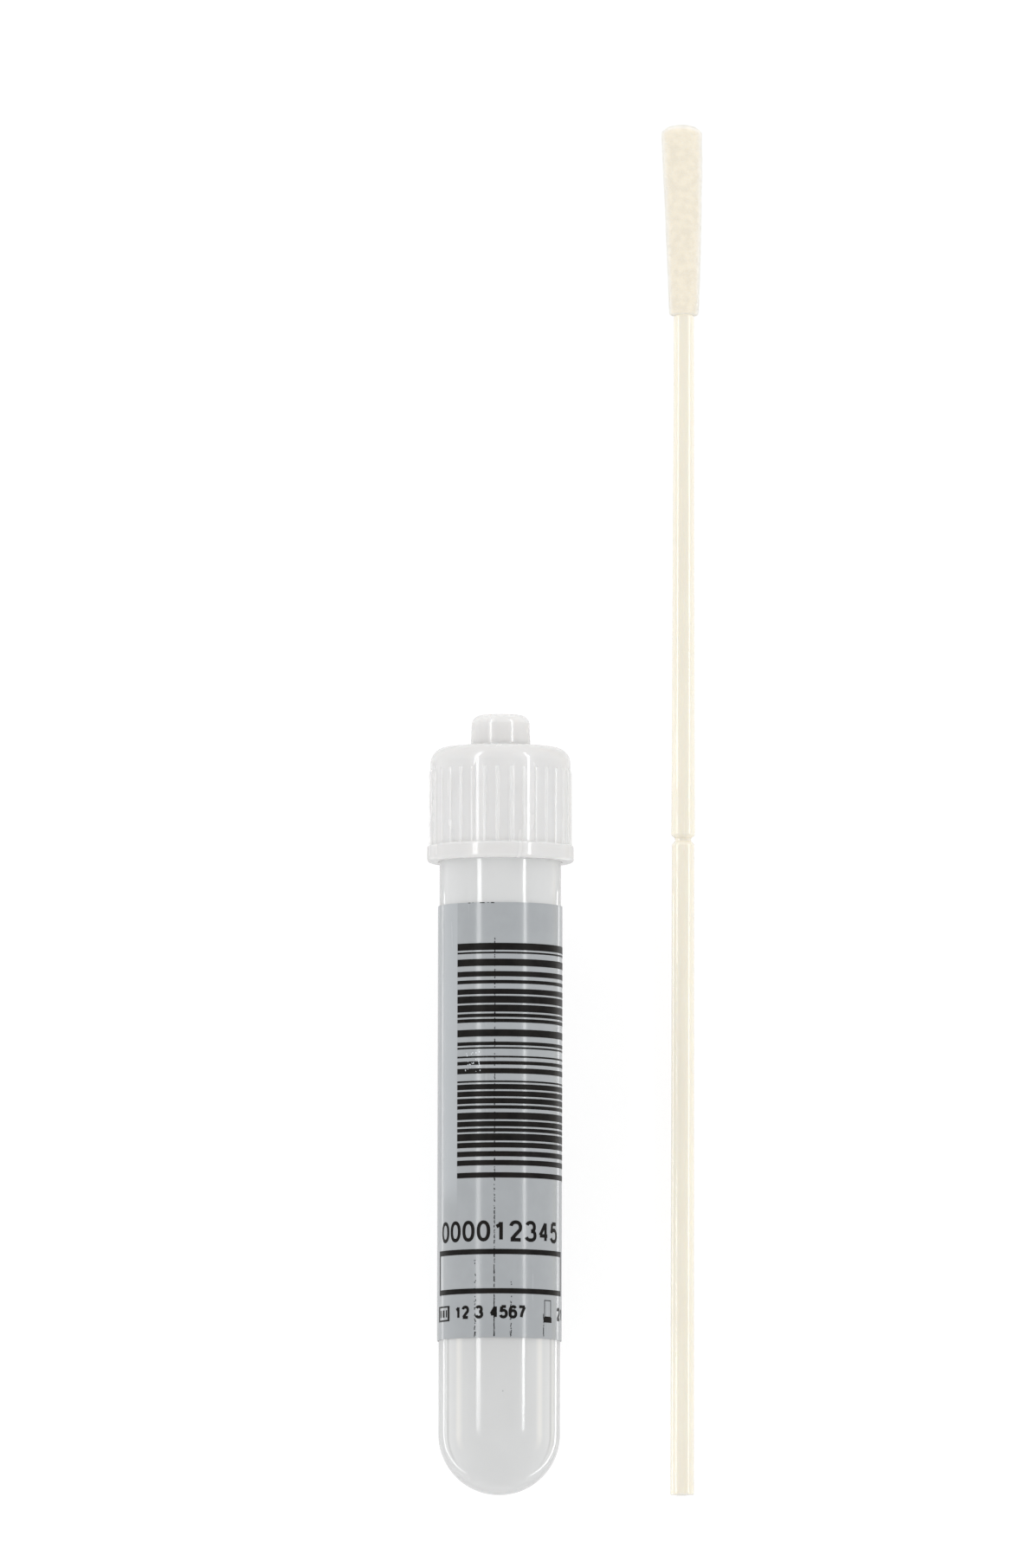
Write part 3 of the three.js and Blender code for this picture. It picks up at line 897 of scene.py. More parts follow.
def cap_outline(sizes):
    """The cap's outline, from the blind end of its socket down the inside and up the
    outside to the top of the nipple."""
    depth, top = sizes.height - sizes.top_wall, CAP_TOP - cap_foot()
    blind, mouth = top - sizes.socket_end, depth - sizes.socket_reach
    start = TUBE_RADIUS + sizes.lead_in
    plug_end, plug_inner = depth - sizes.plug_depth, sizes.plug_radius - sizes.plug_wall
    sleeve, bore, skirt = sizes.nipple_radius, sizes.bore_radius, sizes.skirt_radius
    step_top = sizes.lead_in_depth + start - bore
    shoulder_foot = sizes.height - sizes.crown_rise - sizes.shoulder
    bevel, soft = sizes.band_bevel, SOFT
    nipple_top = sizes.nipple_radius - sizes.nipple_taper
    inside = softened([
        (0, blind), (sizes.socket_radius, blind, soft),
        (sizes.socket_radius, mouth + sizes.socket_funnel, 3 * soft),
        (sleeve - sizes.socket_lip, mouth, soft), (sleeve, mouth, soft),
        (sleeve, depth, 3 * soft), (plug_inner, depth, 3 * soft),
        (plug_inner, plug_end, soft), (sizes.plug_radius - soft, plug_end, soft),
        (sizes.plug_radius, plug_end + 5 * soft, 3 * soft), (sizes.plug_radius, depth, soft),
        (bore - 4 * soft, depth, soft), (bore, depth - 4 * soft, 2 * soft),
        (bore, depth - 7 * soft)])
    threads = rows_between(bore, step_top + 3 * soft, depth - 8 * soft, -1)[::-1]
    foot = softened([
        (bore, step_top + 2 * soft), (bore, step_top, soft),
        (start, sizes.lead_in_depth, soft), (start, 0, soft), (BAND_RADIUS - bevel, 0, soft),
        (BAND_RADIUS, bevel, soft), (BAND_RADIUS, sizes.band_height, 1.6 * soft),
        (skirt, sizes.band_height, soft), (skirt, sizes.band_height + 4 * soft)])
    crown = softened([
        (skirt - sizes.shoulder, sizes.height - sizes.crown_rise),
        (sleeve, sizes.height, 3.5 * soft), (nipple_top, top - sizes.nipple_round)])
    return [
        *inside, *threads, *foot,
        *arc((skirt - sizes.shoulder, shoulder_foot), sizes.shoulder, 0, 90,
             steps=14),
        *crown[1:-1],
        *arc((nipple_top - sizes.nipple_round, top - sizes.nipple_round),
             sizes.nipple_round, 0, 90, steps=10),
        (0, top),
    ]


def rib_mesh(sizes):
    """One grip rib at the front of the cap: a rounded ridge that runs out at its top. Its
    section goes across in half widths and out in heights, from a little inside the skirt."""
    shoulder_foot = sizes.height - sizes.crown_rise - sizes.shoulder
    foot, top = sizes.band_height - 0.4 * MM, shoulder_foot - sizes.rib_stop
    straight, run_out, sunk = 1.2 * MM, 0.5 * MM, 0.04
    section = [(-1.0, -0.9), (-1.0, 0.0), (-0.86, 0.12), (-0.76, 0.5), (-0.66, 0.88),
               (-0.48, 1.0)]
    section += [(-across, out) for across, out in reversed(section)]
    rows = [(foot, 1.0), (top - straight, 1.0)]
    rows += [(top - run_out * (1 - math.sin(a)), math.cos(a))
             for a in (math.radians(12 * i) for i in range(8))]
    rows.append((top, 0.0))
    half, verts, faces = sizes.rib_width / 2, [], []
    for height, share in rows:
        for across, out in section:
            rise = out * share if out > 0 else out
            verts.append((across * half, height,
                          sizes.skirt_radius + (rise - sunk) * sizes.rib_height))
    wide = len(section)
    for j in range(len(rows) - 1):
        for i in range(wide):
            a, b = j * wide + i, j * wide + (i + 1) % wide
            faces.append((a, b, b + wide, a + wide))
    faces.append(tuple(range(wide))[::-1])
    faces.append(tuple(range(len(verts) - wide, len(verts))))
    return verts, faces


def rib_tree():
    """Sets a rib round the cap as many times as asked and joins them to its body."""
    tree, given, out = growth_tree("grip_ribs", Body="Object", Count=33, Phase=0.0)
    index = node(tree, "GeometryNodeInputIndex").outputs[0]
    step = maths(tree, "DIVIDE", TURN, given["Count"])
    angle = maths(tree, "ADD", given["Phase"], product(tree, index, step))
    points = node(tree, "GeometryNodePoints", {"Count": given["Count"]}).outputs[0]
    ribs = made_real(tree, copies_on(tree, points, given["Geometry"],
                                     Rotation=xyz(tree, y=angle)))
    body = node(tree, "GeometryNodeObjectInfo", {"Object": given["Body"]}).outputs["Geometry"]
    union = node(tree, "GeometryNodeMeshBoolean", operation="UNION", solver="MANIFOLD")
    for source in (ribs, body):
        tree.links.new(source, union.inputs["Mesh"] if "Mesh" in union.inputs
                       else union.inputs[1])
    return ended(tree, out, union.outputs[0], given["Material"])


def make_cap():
    sizes, threads = settings().cap, settings().tube
    step = threads.shoulder_cover + threads.pitch / 2
    relief = thread_relief(step + THREAD_START,
                           sizes.height - sizes.top_wall - CAP_THREAD_STOP, threads)
    body = new_object("cap_turned", *lathe(cap_outline(sizes), sizes.facets, relief))
    rib = new_object("rib", *rib_mesh(sizes))
    place = TUBE_PLACE @ Matrix.Translation((0, cap_foot(), 0))
    piece = grown("cap_body", rib, rib_tree(), place, sharp=40, body=body, count=sizes.ribs,
                  phase=sizes.rib_phase, material=cap_material())
    bpy.data.objects.remove(body)
    finished(piece, "cap", replaces=["screw_cap"])


# ---------------------------------------------------------------- label and print
def label_ends():
    """Heights up the tube of the label's lower and upper edges."""
    half_gap = settings().label.gap / 2
    return (height_up(TUBE_FOOT, TUBE_ALONG, LABEL_LOW.y, LABEL_RADIUS),
            height_up(TUBE_FOOT, TUBE_ALONG, LABEL_HIGH.y, -LABEL_RADIUS * math.cos(half_gap)))


def make_label():
    sizes = settings().label
    foot, top = label_ends()
    reach = math.pi - sizes.gap / 2
    verts, faces = slab(-reach, reach, foot, top, LABEL_RADIUS - sizes.thickness,
                        LABEL_RADIUS, rows=12)
    piece = new_object("label_sheet", verts, faces, TUBE_PLACE)
    finished(piece, "tube", film_material(), ["label"])


def ink_depth():
    """Inner and outer radius of the ink, which bites a little into the film."""
    return LABEL_RADIUS - settings().label.ink / 2, LABEL_RADIUS + settings().label.ink


def printed(name, parts, material):
    """A print of slabs, given as (from, to, foot, top) with heights from the label's edge."""
    inner, outer = ink_depth()
    foot = label_ends()[0]
    verts, faces = joined(slab(start, end, foot + low, foot + high, inner, outer)
                          for start, end, low, high in parts)
    finished(new_object(name, verts, faces, TUBE_PLACE), "tube", material)


def outlined(start, end, foot, top, line, side):
    """The four slabs of an empty box."""
    across = side / LABEL_RADIUS
    return [(start, end, foot, foot + line), (start, end, top - line, top),
            (start, start + across, foot + line, top - line),
            (end - across, end, foot + line, top - line)]


# Plain digits as centre lines in a unit box. Four numbers and two angles are part of an
# ellipse: its centre, its half width and half height, and where it starts and ends.
DIGITS = {
    "0": [[(0.5, 0.5, 0.5, 0.5, 90, 450)]],
    "1": [[(0.64, 0), (0.64, 1)], [(0.64, 0.96), (0.48, 0.83), (0.2, 0.74)]],
    "2": [[(0.5, 0.71, 0.47, 0.29, 168, -28), (0.5, 0.3), (0.1, 0.03)], [(0, 0), (1, 0)]],
    "3": [[(0.48, 0.745, 0.42, 0.255, 158, -85)], [(0.48, 0.265, 0.5, 0.265, 85, -160)]],
    "4": [[(0.74, 0), (0.74, 1)], [(0.7, 0.97), (0.03, 0.3)], [(0, 0.28), (1, 0.28)]],
    "5": [[(0.92, 1), (0.2, 1)], [(0.22, 1), (0.1, 0.47)],
          [(0.49, 0.325, 0.5, 0.325, 148, -158)]],
    "6": [[(0.51, 0.31, 0.49, 0.31, 0, 360)], [(0.55, 0.5, 0.53, 0.5, 42, 200)]],
    "7": [[(0, 1), (1, 1)], [(0.97, 0.98), (0.66, 0.62), (0.46, 0.3), (0.38, 0)]],
    "8": [[(0.5, 0.755, 0.42, 0.245, 0, 360)], [(0.5, 0.265, 0.5, 0.265, 0, 360)]],
    "9": [[(0.49, 0.69, 0.49, 0.31, 0, 360)], [(0.45, 0.5, 0.53, 0.5, 222, 380)]],
}


def centre_line(stroke, width, height):
    """The points of a stroke at its real size, close enough together to be bent."""
    points = []
    for item in stroke:
        if len(item) == 2:
            points.append(Vector((item[0] * width, item[1] * height)))
            continue
        x, y, across, up, start, end = item
        for out, rise in arc((0, 0), 1, start, end, ELLIPSE_STEPS):
            points.append(Vector((
                width * (x + across * math.copysign(abs(out) ** SQUARED, out)),
                height * (y + up * math.copysign(abs(rise) ** SQUARED, rise)))))
    line = [points[0]]
    for point in points[1:]:
        cuts = max(1, math.ceil((point - line[-1]).length / STROKE_STEP))
        line += [line[-1].lerp(point, (i + 1) / cuts) for i in range(cuts)]
    return line


def ribbon(line, thick, turn, foot, inner, outer):
    """Vertices and faces of a stroke of one thickness, bent round the label."""
    closed = (line[0] - line[-1]).length < SAME_PLACE
    line = line[:-1] if closed else line
    many, verts, faces = len(line), [], []
    for i, point in enumerate(line):
        before = line[i - 1] if closed or i else point
        after = line[(i + 1) % many] if closed or i + 1 < many else point
        along = (after - before).normalized()
        side = Vector((-along.y, along.x)) * thick / 2
        for radius, edge in ((outer, side), (outer, -side), (inner, -side), (inner, side)):
            angle = turn + (point.x + edge.x) / LABEL_RADIUS
            verts.append((radius * math.sin(angle), foot + point.y + edge.y,
                          radius * math.cos(angle)))
    for i in range(many if closed else many - 1):
        low, high = 4 * i, 4 * ((i + 1) % many)
        for k in range(4):
            n = (k + 1) % 4
            faces.append((low + k, low + n, high + n, high + k))
    if not closed:
        faces += [(3, 2, 1, 0), tuple(4 * (many - 1) + k for k in range(4))]
    return verts, faces


def lettered(name, text, start, foot, height, width, pitch, thick, material):
    """A row of plain digits round the label, from an angle."""
    inner, outer = ink_depth()
    foot += label_ends()[0] + thick / 2
    along, parts = thick / 2, []
    for digit in text:
        for stroke in DIGITS.get(digit, ()):
            line = centre_line(stroke, width - thick, height - thick)
            parts.append(ribbon(line, thick, start + along / LABEL_RADIUS, foot, inner, outer))
        along += pitch * (0.6 if digit == " " else 1.0)
    piece = new_object(name, *joined(parts), TUBE_PLACE)
    finished(piece, "tube", material)


def bars_tree():
    """Fills a length with bars and gaps of one to four random modules each. The gaps are
    skewed more than the bars, so that most of them are narrow."""
    tree, given, out = growth_tree("printed_bars", Bars=42, Foot=0.0, Length=0.026, Seed=1)
    is_gap = maths(tree, "MODULO", node(tree, "GeometryNodeInputIndex").outputs[0], 2.0)
    bar_skew, gap_more, widest = 0.8, 2.0, 3.99
    skewed = maths(tree, "POWER", random_value(tree, given["Seed"], 0.0, 1.0),
                   maths(tree, "ADD", bar_skew, product(tree, is_gap, gap_more)))
    modules = maths(tree, "ADD", 1.0, maths(tree, "FLOOR", product(tree, skewed, widest)))
    running = node(tree, "GeometryNodeAccumulateField", {0: modules}, data_type="FLOAT",
                   domain="POINT").outputs
    unit = maths(tree, "DIVIDE", given["Length"], running["Total"])
    start = maths(tree, "ADD", given["Foot"], product(tree, running["Trailing"], unit))
    total = maths(tree, "SUBTRACT", product(tree, given["Bars"], 2.0), 1.0)
    bars = copies_on(tree, points_at(tree, total, xyz(tree, y=start)), given["Geometry"],
                     Selection=maths(tree, "LESS_THAN", is_gap, 0.5),
                     Scale=xyz(tree, 1.0, product(tree, modules, unit), 1.0))
    return ended(tree, out, bars, given["Material"])


def specks_tree():
    """Strews small specks of random size along a line up the label."""
    tree, given, out = growth_tree("ink_specks", Count=60, Foot=0.0, Length=0.04, Angle=0.0,
                                   Wander=0.02, Lean=1.0, Seed=1)

    def random(low, high, offset):
        """A random number with a seed of its own, so many past the tree's."""
        return random_value(tree, maths(tree, "ADD", given["Seed"], float(offset)), low, high)

    share = maths(tree, "POWER", random(0.0, 1.0, offset=0), given["Lean"])
    height = maths(tree, "ADD", given["Foot"], product(tree, given["Length"], share))
    wander = product(tree, given["Wander"], random(-1.0, 1.0, offset=100))
    turn = xyz(tree, y=maths(tree, "ADD", given["Angle"], wander))
    points = points_at(tree, given["Count"], xyz(tree, y=height))
    specks = copies_on(tree, points, given["Geometry"], Rotation=turn,
                       Scale=xyz(tree, 1.0, random(0.4, 2.2, offset=200), 1.0))
    return ended(tree, out, specks, given["Material"])


# Stray specks up the label: name, seed, how many, height of the lowest and length of the line
# in millimetres, angle in degrees, sideways wander in radians, how much they crowd to the foot,
# and whether they are worn spots and not ink.
SPECK_LINES = (
    ("label_drag_line", 0, 400, 0.1, 44.0, -4.8, 0.005, 1.4, False),
    ("label_drag_left", 1, 60, 0.05, 9.0, -23, 0.012, 1.7, False),
    ("label_drag_right", 2, 40, 0.05, 6.0, 10.5, 0.012, 1.7, False),
    ("label_drag_end", 3, 26, 0.05, 2.6, 45, 0.004, 1.0, False),
    ("label_worn", 5, 26, 29.2, 2.2, -27, 0.15, 1.0, True),
)
# Ink left along the label's upper edge: from and to in degrees, height in millimetres.
EDGE_SPECKS = ((-31, -28.5, 0.08), (-26.5, -25.5, 0.06), (-19, -14.5, 0.1),
               (-12, -10.5, 0.07), (-8.5, -5.5, 0.11))
# The left sign's frame and the three marks in it, and the right sign's foot and box: from and to
# in degrees, lower and upper edge in millimetres from the small row's foot.
SIGN_FRAME, SIGN_BOX = (-75, -53, -0.15, 1.55), (46, 55.5, 0.28, 2.18)
SIGN_FILLS = ((-70.5, -68, 0.3, 1.1), (-65, -61.5, 0.3, 1.1), (-59, -57, 0.3, 1.1),
              (45, 56.5, -0.3, 0.28))


def make_signs(sizes, ink):
    """Two plain signs in the small row: a frame with three marks, and a box on a foot."""
    line = 0.18 * MM

    def placed(start, end, low, high):
        return (math.radians(start), math.radians(end), sizes.note_foot + low * MM,
                sizes.note_foot + high * MM)

    printed("label_signs", [*outlined(*placed(*SIGN_FRAME), line, 2 * line),
                            *(placed(*fill) for fill in SIGN_FILLS),
                            *outlined(*placed(*SIGN_BOX), line / 2, line / 2)], ink)


def make_print():
    sizes, ink, bare = settings().label, ink_material(), bare_material()
    inner, outer = ink_depth()
    foot, top = label_ends()

    bar = new_object("bar", *slab(sizes.bars_from, sizes.bars_to, 0, 1, inner, outer))
    bars = grown("label_bars", bar, bars_tree(), TUBE_PLACE, bars=sizes.bars,
                 foot=foot + sizes.bars_foot, length=sizes.bars_top - sizes.bars_foot,
                 seed=sizes.bars_seed, material=ink)
    finished(bars, "tube")

    lettered("label_digits", sizes.number, sizes.number_from, sizes.number_foot,
             sizes.number_height, sizes.number_width, sizes.number_pitch,
             sizes.number_stroke, ink)
    printed("label_box", outlined(sizes.box_from, sizes.box_to, sizes.box_foot, sizes.box_top,
                                  sizes.box_line, sizes.box_side), ink)
    for name, text, start in (("label_note", sizes.note, sizes.note_from),
                              ("label_note_end", sizes.note_end, sizes.note_end_from)):
        lettered(name, text, start, sizes.note_foot, sizes.note_height, sizes.note_width,
                 sizes.note_pitch, sizes.note_stroke, ink)
    make_signs(sizes, ink)
    edge = top - foot
    printed("label_edge_specks",
            [(math.radians(start), math.radians(end), edge - tall * MM, edge - 0.01 * MM)
             for start, end, tall in EDGE_SPECKS], ink)

    half, tall, proud = math.radians(0.35), 0.09 * MM, 0.01 * MM
    for name, seed, many, start, reach, angle, wander, lean, worn in SPECK_LINES:
        speck = slab(-half, half, 0, tall, inner, outer + (proud if worn else 0))
        piece = grown(name, new_object("speck", *speck), specks_tree(), TUBE_PLACE, count=many,
                      foot=foot + start * MM, length=reach * MM, angle=math.radians(angle),
                      wander=wander, lean=lean, seed=sizes.specks_seed + seed,
                      material=bare if worn else ink)
        finished(piece, "tube")


# ---------------------------------------------------------------- swab
def core_radii():
    """Radius of the shaft under the flock's lower end, and of the core in it."""
    sizes = settings().swab
    return SHAFT_RADIUS - sizes.taper, SHAFT_RADIUS - sizes.taper - sizes.core_step


def bent(verts):
    """Leans the tip's end to the left, more and more towards its top."""
    lean, reach = settings().swab.tip_bend, SWAB_LENGTH - TIP_FOOT
    for x, y, z in verts:
        share = max(0.0, (y - TIP_FOOT) / reach)
        yield x - lean * share * share, y, z


def make_shaft():
    sizes = settings().swab
    tip, core = core_radii()
    snap, half, floor = sizes.snap_height, sizes.snap_width / 2, 0.16 * MM
    groove, soft = SHAFT_RADIUS - sizes.snap_depth, 0.05 * MM
    below = SHAFT_RADIUS - sizes.grip_taper
    end = SWAB_LENGTH - sizes.core_cover
    outline = softened([
        (0, 0), (SHAFT_RADIUS, 0, soft), (below, snap - half, 2 * soft),
        (groove, snap - floor, soft), (groove, snap + floor, soft),
        (SHAFT_RADIUS, snap + half, 2 * soft), (tip, TIP_FOOT - 4 * soft, soft),
        (core, TIP_FOOT, soft), (core, end - 20 * soft, soft), (core / 2, end, 4 * soft),
        (0, end)])
    verts, faces = lathe(outline, facets=64)
    piece = new_object("shaft_stick", list(bent(verts)), faces, SWAB_PLACE)
    finished(piece, "tube", shaft_material(), ["swab_shaft"])
    light_apart(piece)


def tip_outline(pile):
    """The flock's outline, drawn in by the pile that the tufts add: a lip at its lower end, a
    body that swells towards the top, and a low dome."""
    sizes = settings().swab
    low, wide = core_radii()[0] + sizes.base_pile - pile, TIP_RADIUS - pile
    top, lip, steps, bulge = SWAB_LENGTH - pile, 0.16 * MM, 150, 0.17
    foot, straight = TIP_FOOT + lip, top - sizes.tip_dome
    points = [(0, TIP_FOOT), (core_radii()[0], TIP_FOOT - 0.4 * lip),
              *arc((low - lip, foot), lip, -60, 0, steps=4)]
    for i in range(1, steps):
        t = i / steps
        swell = t + bulge * t * (1 - t)
        points.append((low + (wide - low) * swell, foot + (straight - foot) * t))
    points += [(wide * math.cos(a), straight + sizes.tip_dome * math.sin(a))
               for a in (math.radians(5 * i) for i in range(18))]
    return [*points, (0, top)]


def flock_tree():
    """Sets tufts of flock on a surface, leaning and sized at random."""
    tree, given, out = growth_tree("flock_tufts", Density=1e8, Length=3e-4, Width=5e-5,
                                   Lean=0.5, Seed=1)
    points = node(tree, "GeometryNodeDistributePointsOnFaces",
                  {"Mesh": given["Geometry"], "Density": given["Density"],
                   "Seed": given["Seed"]}).outputs
    tuft = node(tree, "GeometryNodeMeshCone",
                {"Vertices": 3, "Side Segments": 1, "Fill Segments": 1, "Radius Top": 0.0,
                 "Radius Bottom": 1.0, "Depth": 1.0}, fill_type="NGON")
    lean = vector_maths(tree, "MULTIPLY",
                        random_value(tree, given["Seed"], (-1, -1, 0), (1, 1, TURN)),
                        xyz(tree, given["Lean"], given["Lean"], 1.0))
    turn = node(tree, "FunctionNodeEulerToRotation", {0: lean})
    turned = node(tree, "FunctionNodeRotateRotation",
                  {0: points["Rotation"], 1: turn.outputs[0]}, rotation_space="LOCAL")
    size = random_value(tree, maths(tree, "ADD", given["Seed"], 11.0), low=0.5, high=1.15)
    tufts = copies_on(tree, points["Points"], tuft.outputs["Mesh"],
                      Rotation=turned.outputs[0],
                      Scale=xyz(tree, given["Width"], given["Width"],
                                product(tree, given["Length"], size)))
    return ended(tree, out, tufts, given["Material"])


def make_flock():
    sizes = settings().swab
    pile = sizes.fibre_length * 0.15

    def lump(angle, height):
        return sum(deep * noise.noise(Vector((around * math.sin(angle),
                                              around * math.cos(angle), up * height / MM)))
                   for around, up, deep in LUMPS)

    outline = [(radius, height, 1.0 if radius > 0.7 * MM else 0.0)
               for radius, height in tip_outline(pile)]
    verts, faces = lathe(outline, facets=96, relief=lump)
    verts = list(bent(verts))
    core = new_object("flock_core", verts, faces, SWAB_PLACE, sharp=60)
    finished(core, "tube", flock_material("flock_depth", sizes.flock, 0.5),
             ["swab_tip"])

    area = sum(face.area for face in core.data.polygons)
    base = new_object("flock_base", verts, faces)
    tufts = grown("flock_fibres", base, flock_tree(), SWAB_PLACE, sharp=180,
                  density=sizes.fibres / area, length=sizes.fibre_length,
                  width=sizes.fibre_width / 2, lean=0.8, seed=sizes.fibre_seed,
                  material=flock_material("flock_fibre", sizes.fibre, 0.05))
    finished(tufts, "tube")


# ---------------------------------------------------------------- stage
def seen_directly(tree, mirrored=1.0):
    """1 for rays that show a surface as it is, straight or through plastic, and the given
    share for mirrored rays."""
    path = node(tree, "ShaderNodeLightPath").outputs
    seen = maths(tree, "ADD", path["Is Camera Ray"], path["Is Transmission Ray"])
    glossy = product(tree, path["Is Glossy Ray"], mirrored)
    return maths(tree, "ADD", seen, glossy, clamp=True)


def emptied(owner):
    """The node tree of a new material or world, with nothing in it."""
    owner.use_nodes = True
    owner.node_tree.nodes.clear()
    return owner.node_tree


def make_floor(stage):
    half = stage.floor_size
    corners = [(-half, -half, 0), (half, -half, 0), (half, half, 0), (-half, half, 0)]
    floor = new_object("floor", corners, [(0, 1, 2, 3)])
    material = bpy.data.materials.new("pale_floor")
    tree = emptied(material)
    plain = node(tree, "ShaderNodeBsdfDiffuse", {"Color": (0.88, 0.88, 0.88, 1)})
    tone = stage.floor_tone
    shadowed = node(tree, "ShaderNodeBsdfDiffuse", {"Color": (tone, tone, tone, 1)})
    glow = node(tree, "ShaderNodeEmission", {"Strength": stage.floor_glow})
    shown = node(tree, "ShaderNodeAddShader", {0: shadowed.outputs[0], 1: glow.outputs[0]})
    both = node(tree, "ShaderNodeMixShader",
                {0: seen_directly(tree, stage.floor_mirrored), 1: plain.outputs[0],
                 2: shown.outputs[0]})
    node(tree, "ShaderNodeOutputMaterial", {"Surface": both.outputs[0]})
    floor.data.materials.append(material)


def make_world(stage):
    world = bpy.data.worlds.new("even_light")
    tree = emptied(world)
    height = part_of(tree, node(tree, "ShaderNodeTexCoord").outputs["Generated"], "Z")
    low = maths(tree, "SUBTRACT", 1.0, product(tree, height, height))
    sky = maths(tree, "ADD", stage.sky_top, product(tree, low, stage.sky_side))
    strength = ramp(tree, seen_directly(tree), 0.0, 1.0, sky, 1.0)
    light = node(tree, "ShaderNodeBackground", {"Color": (1, 1, 1, 1), "Strength": strength})
    node(tree, "ShaderNodeOutputWorld", {"Surface": light.outputs[0]})
    bpy.context.scene.world = world


def new_lamp(name, location, turn, width, reach, power):
    """A rectangular lamp, turned about Y from facing down."""
    data = bpy.data.lights.new(name, "AREA")
    data.shape, data.size, data.size_y, data.energy = "RECTANGLE", width, reach, power
    lamp = bpy.data.objects.new(name, data)
    lamp.location, lamp.rotation_euler = location, (0, turn, 0)
    bpy.context.scene.collection.objects.link(lamp)
    return lamp


def lit_pieces(name):
    """The collection, kept out of the scene, that says which pieces some lamps light."""
    return bpy.data.collections.get(name) or bpy.data.collections.new(name)


def light_apart(piece):
    """Lights a piece with its own two lamps in place of the main ones."""
    for name, state in ((OWN_LIGHT, "INCLUDE"), (MAIN_LIGHT, "EXCLUDE")):
        lit_pieces(name).objects.link(piece)
        lit_pieces(name).collection_objects[-1].light_linking.link_state = state


def make_lamps(stage):
    """Two long lamps overhead, two more for the shaft with a fill between it and the tube,
    and two strips on the floor that only show as mirrored lines."""
    middle = stage.lamp_start + stage.lamp_length / 2
    own = (stage.shaft_width, stage.shaft_power, OWN_LIGHT)
    for name, turn, width, power, lit in (
            ("left_lamp", -stage.left_lamp, stage.left_width, stage.left_power, MAIN_LIGHT),
            ("right_lamp", stage.right_lamp, stage.right_width, stage.right_power, MAIN_LIGHT),
            ("shaft_left_lamp", -stage.shaft_lamps, *own),
            ("shaft_right_lamp", stage.shaft_lamps, *own)):
        place = (math.sin(turn) * stage.lamp_distance, middle,
                 math.cos(turn) * stage.lamp_distance)
        lamp = new_lamp(name, place, turn, width, stage.lamp_length, power)
        lamp.light_linking.receiver_collection = lit_pieces(lit)
        if lit == OWN_LIGHT:
            lamp.light_linking.blocker_collection = lit_pieces(lit)
    card = new_lamp("fill_card", (TUBE_HIGH.x + MM, (TUBE_LOW.y + CAP_HIGH.y) / 2, TUBE_RADIUS),
                    -math.pi / 2, 2 * TUBE_RADIUS, CAP_HIGH.y - TUBE_LOW.y, stage.card_power)
    card.visible_camera = card.visible_transmission = False
    card.light_linking.receiver_collection = lit_pieces(OWN_LIGHT)
    near, far = TUBE_LOW.y - 2 * TUBE_RADIUS, CAP_LOW.y - 2 * MM
    for name, across in (("left_strip", stage.strip_left), ("right_strip", stage.strip_right)):
        strip = new_lamp(name, (across, (near + far) / 2, 0.1 * MM), math.pi,
                         stage.strip_width, far - near, stage.strip_power)
        strip.visible_camera = strip.visible_diffuse = strip.visible_transmission = False


def make_camera(stage):
    data = bpy.data.cameras.new("camera")
    data.sensor_width, data.sensor_fit = 36, "AUTO"
    data.lens = data.sensor_width * stage.distance / stage.view_height
    data.clip_start, data.clip_end = 0.1, 30
    camera = bpy.data.objects.new("camera", data)
    back = Vector((0, -math.cos(stage.elevation), math.sin(stage.elevation)))
    camera.rotation_mode = "QUATERNION"
    roll = Quaternion((0, 0, 1), stage.roll)
    camera.rotation_quaternion = (-back).to_track_quat("-Z", "Y") @ roll
    camera.location = Vector(stage.aim) + back * stage.distance
    bpy.context.scene.collection.objects.link(camera)
    bpy.context.scene.camera = camera


def make_stage():
    stage = settings().stage
    make_camera(stage)
    make_floor(stage)
    make_world(stage)
    make_lamps(stage)
    bpy.context.scene.view_settings.view_transform = "Standard"


# ---------------------------------------------------------------- operators and panel
class SWABTUBE_OT_stage(bpy.types.Operator):
    """Set up the floor, the light and the camera"""
    bl_idname = "swabtube.stage"
    bl_label = "Stage"

    def execute(self, context):
        make_stage()
        return {"FINISHED"}


class SWABTUBE_OT_tube(bpy.types.Operator):
    """Build the round-bottomed tube with its threaded neck"""
    bl_idname = "swabtube.tube"
    bl_label = "Tube"

    def execute(self, context):
        make_tube()
        return {"FINISHED"}


class SWABTUBE_OT_cap(bpy.types.Operator):
    """Build the ribbed screw cap"""
    bl_idname = "swabtube.cap"
    bl_label = "Screw cap"

    def execute(self, context):
        make_cap()
        return {"FINISHED"}


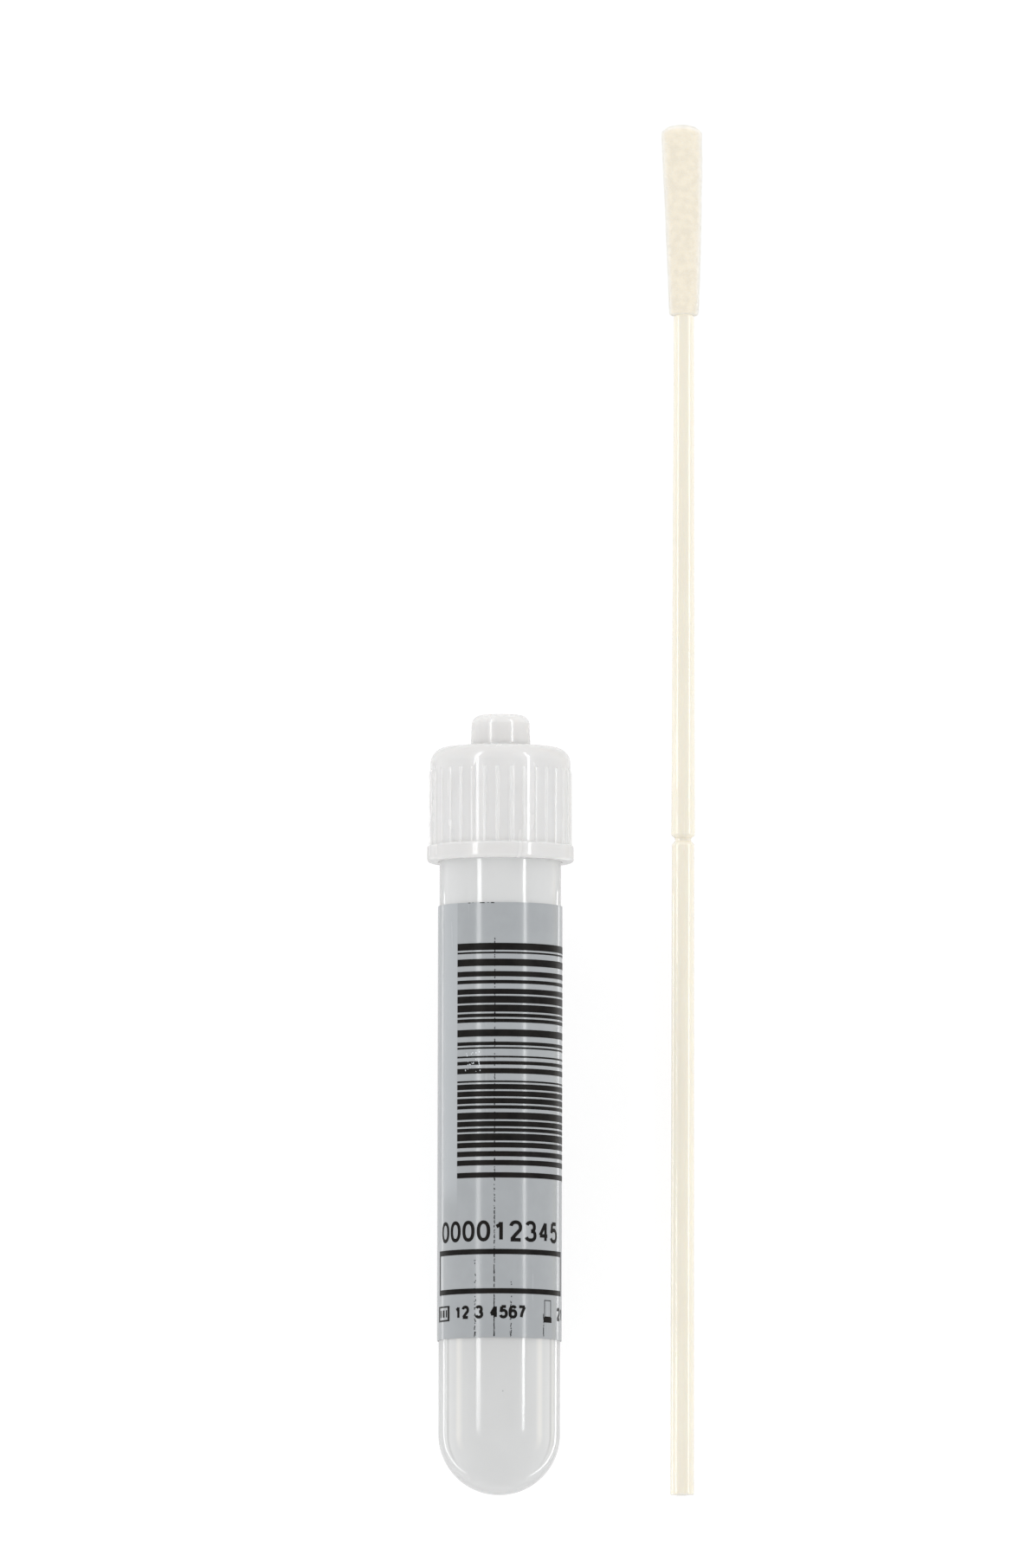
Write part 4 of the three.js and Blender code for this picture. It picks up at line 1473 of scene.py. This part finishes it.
class SWABTUBE_OT_label(bpy.types.Operator):
    """Wrap the plain label round the tube"""
    bl_idname = "swabtube.label"
    bl_label = "Label"

    def execute(self, context):
        make_label()
        return {"FINISHED"}


class SWABTUBE_OT_print(bpy.types.Operator):
    """Print the bars, the digits and the boxes on the label"""
    bl_idname = "swabtube.print"
    bl_label = "Print"

    def execute(self, context):
        make_print()
        return {"FINISHED"}


class SWABTUBE_OT_shaft(bpy.types.Operator):
    """Build the swab's shaft with its snap groove"""
    bl_idname = "swabtube.shaft"
    bl_label = "Swab shaft"

    def execute(self, context):
        make_shaft()
        return {"FINISHED"}


class SWABTUBE_OT_flock(bpy.types.Operator):
    """Build the flocked tip of the swab"""
    bl_idname = "swabtube.flock"
    bl_label = "Flocked tip"

    def execute(self, context):
        make_flock()
        return {"FINISHED"}


OPERATORS = (SWABTUBE_OT_stage, SWABTUBE_OT_tube, SWABTUBE_OT_cap, SWABTUBE_OT_label,
             SWABTUBE_OT_print, SWABTUBE_OT_shaft, SWABTUBE_OT_flock)


class SWABTUBE_PT_panel(bpy.types.Panel):
    """Lists the pieces of the set"""
    bl_label = "Specimen swab tube"
    bl_idname = "SWABTUBE_PT_panel"
    bl_space_type = "VIEW_3D"
    bl_region_type = "UI"
    bl_category = "Swab tube"

    def draw(self, context):
        for operator in OPERATORS:
            self.layout.operator(operator.bl_idname)
        for name in ("tube", "cap", "label", "swab", "stage"):
            group = getattr(context.scene.swab_tube, name)
            box = self.layout.box()
            box.label(text=name.capitalize())
            for key in group.bl_rna.properties.keys():
                if key not in ("rna_type", "name"):
                    box.prop(group, key)


CLASSES = (TubeSizes, CapSizes, LabelSizes, SwabSizes, StageSettings, SwabTubeSettings,
           *OPERATORS, SWABTUBE_PT_panel)


def register():
    for item in CLASSES:
        bpy.utils.register_class(item)
    bpy.types.Scene.swab_tube = PointerProperty(type=SwabTubeSettings)


def unregister():
    del bpy.types.Scene.swab_tube
    for item in reversed(CLASSES):
        bpy.utils.unregister_class(item)


def main():
    register()
    for operator in OPERATORS:
        family, name = operator.bl_idname.split(".")
        getattr(getattr(bpy.ops, family), name)()


if __name__ == "__main__":
    main()
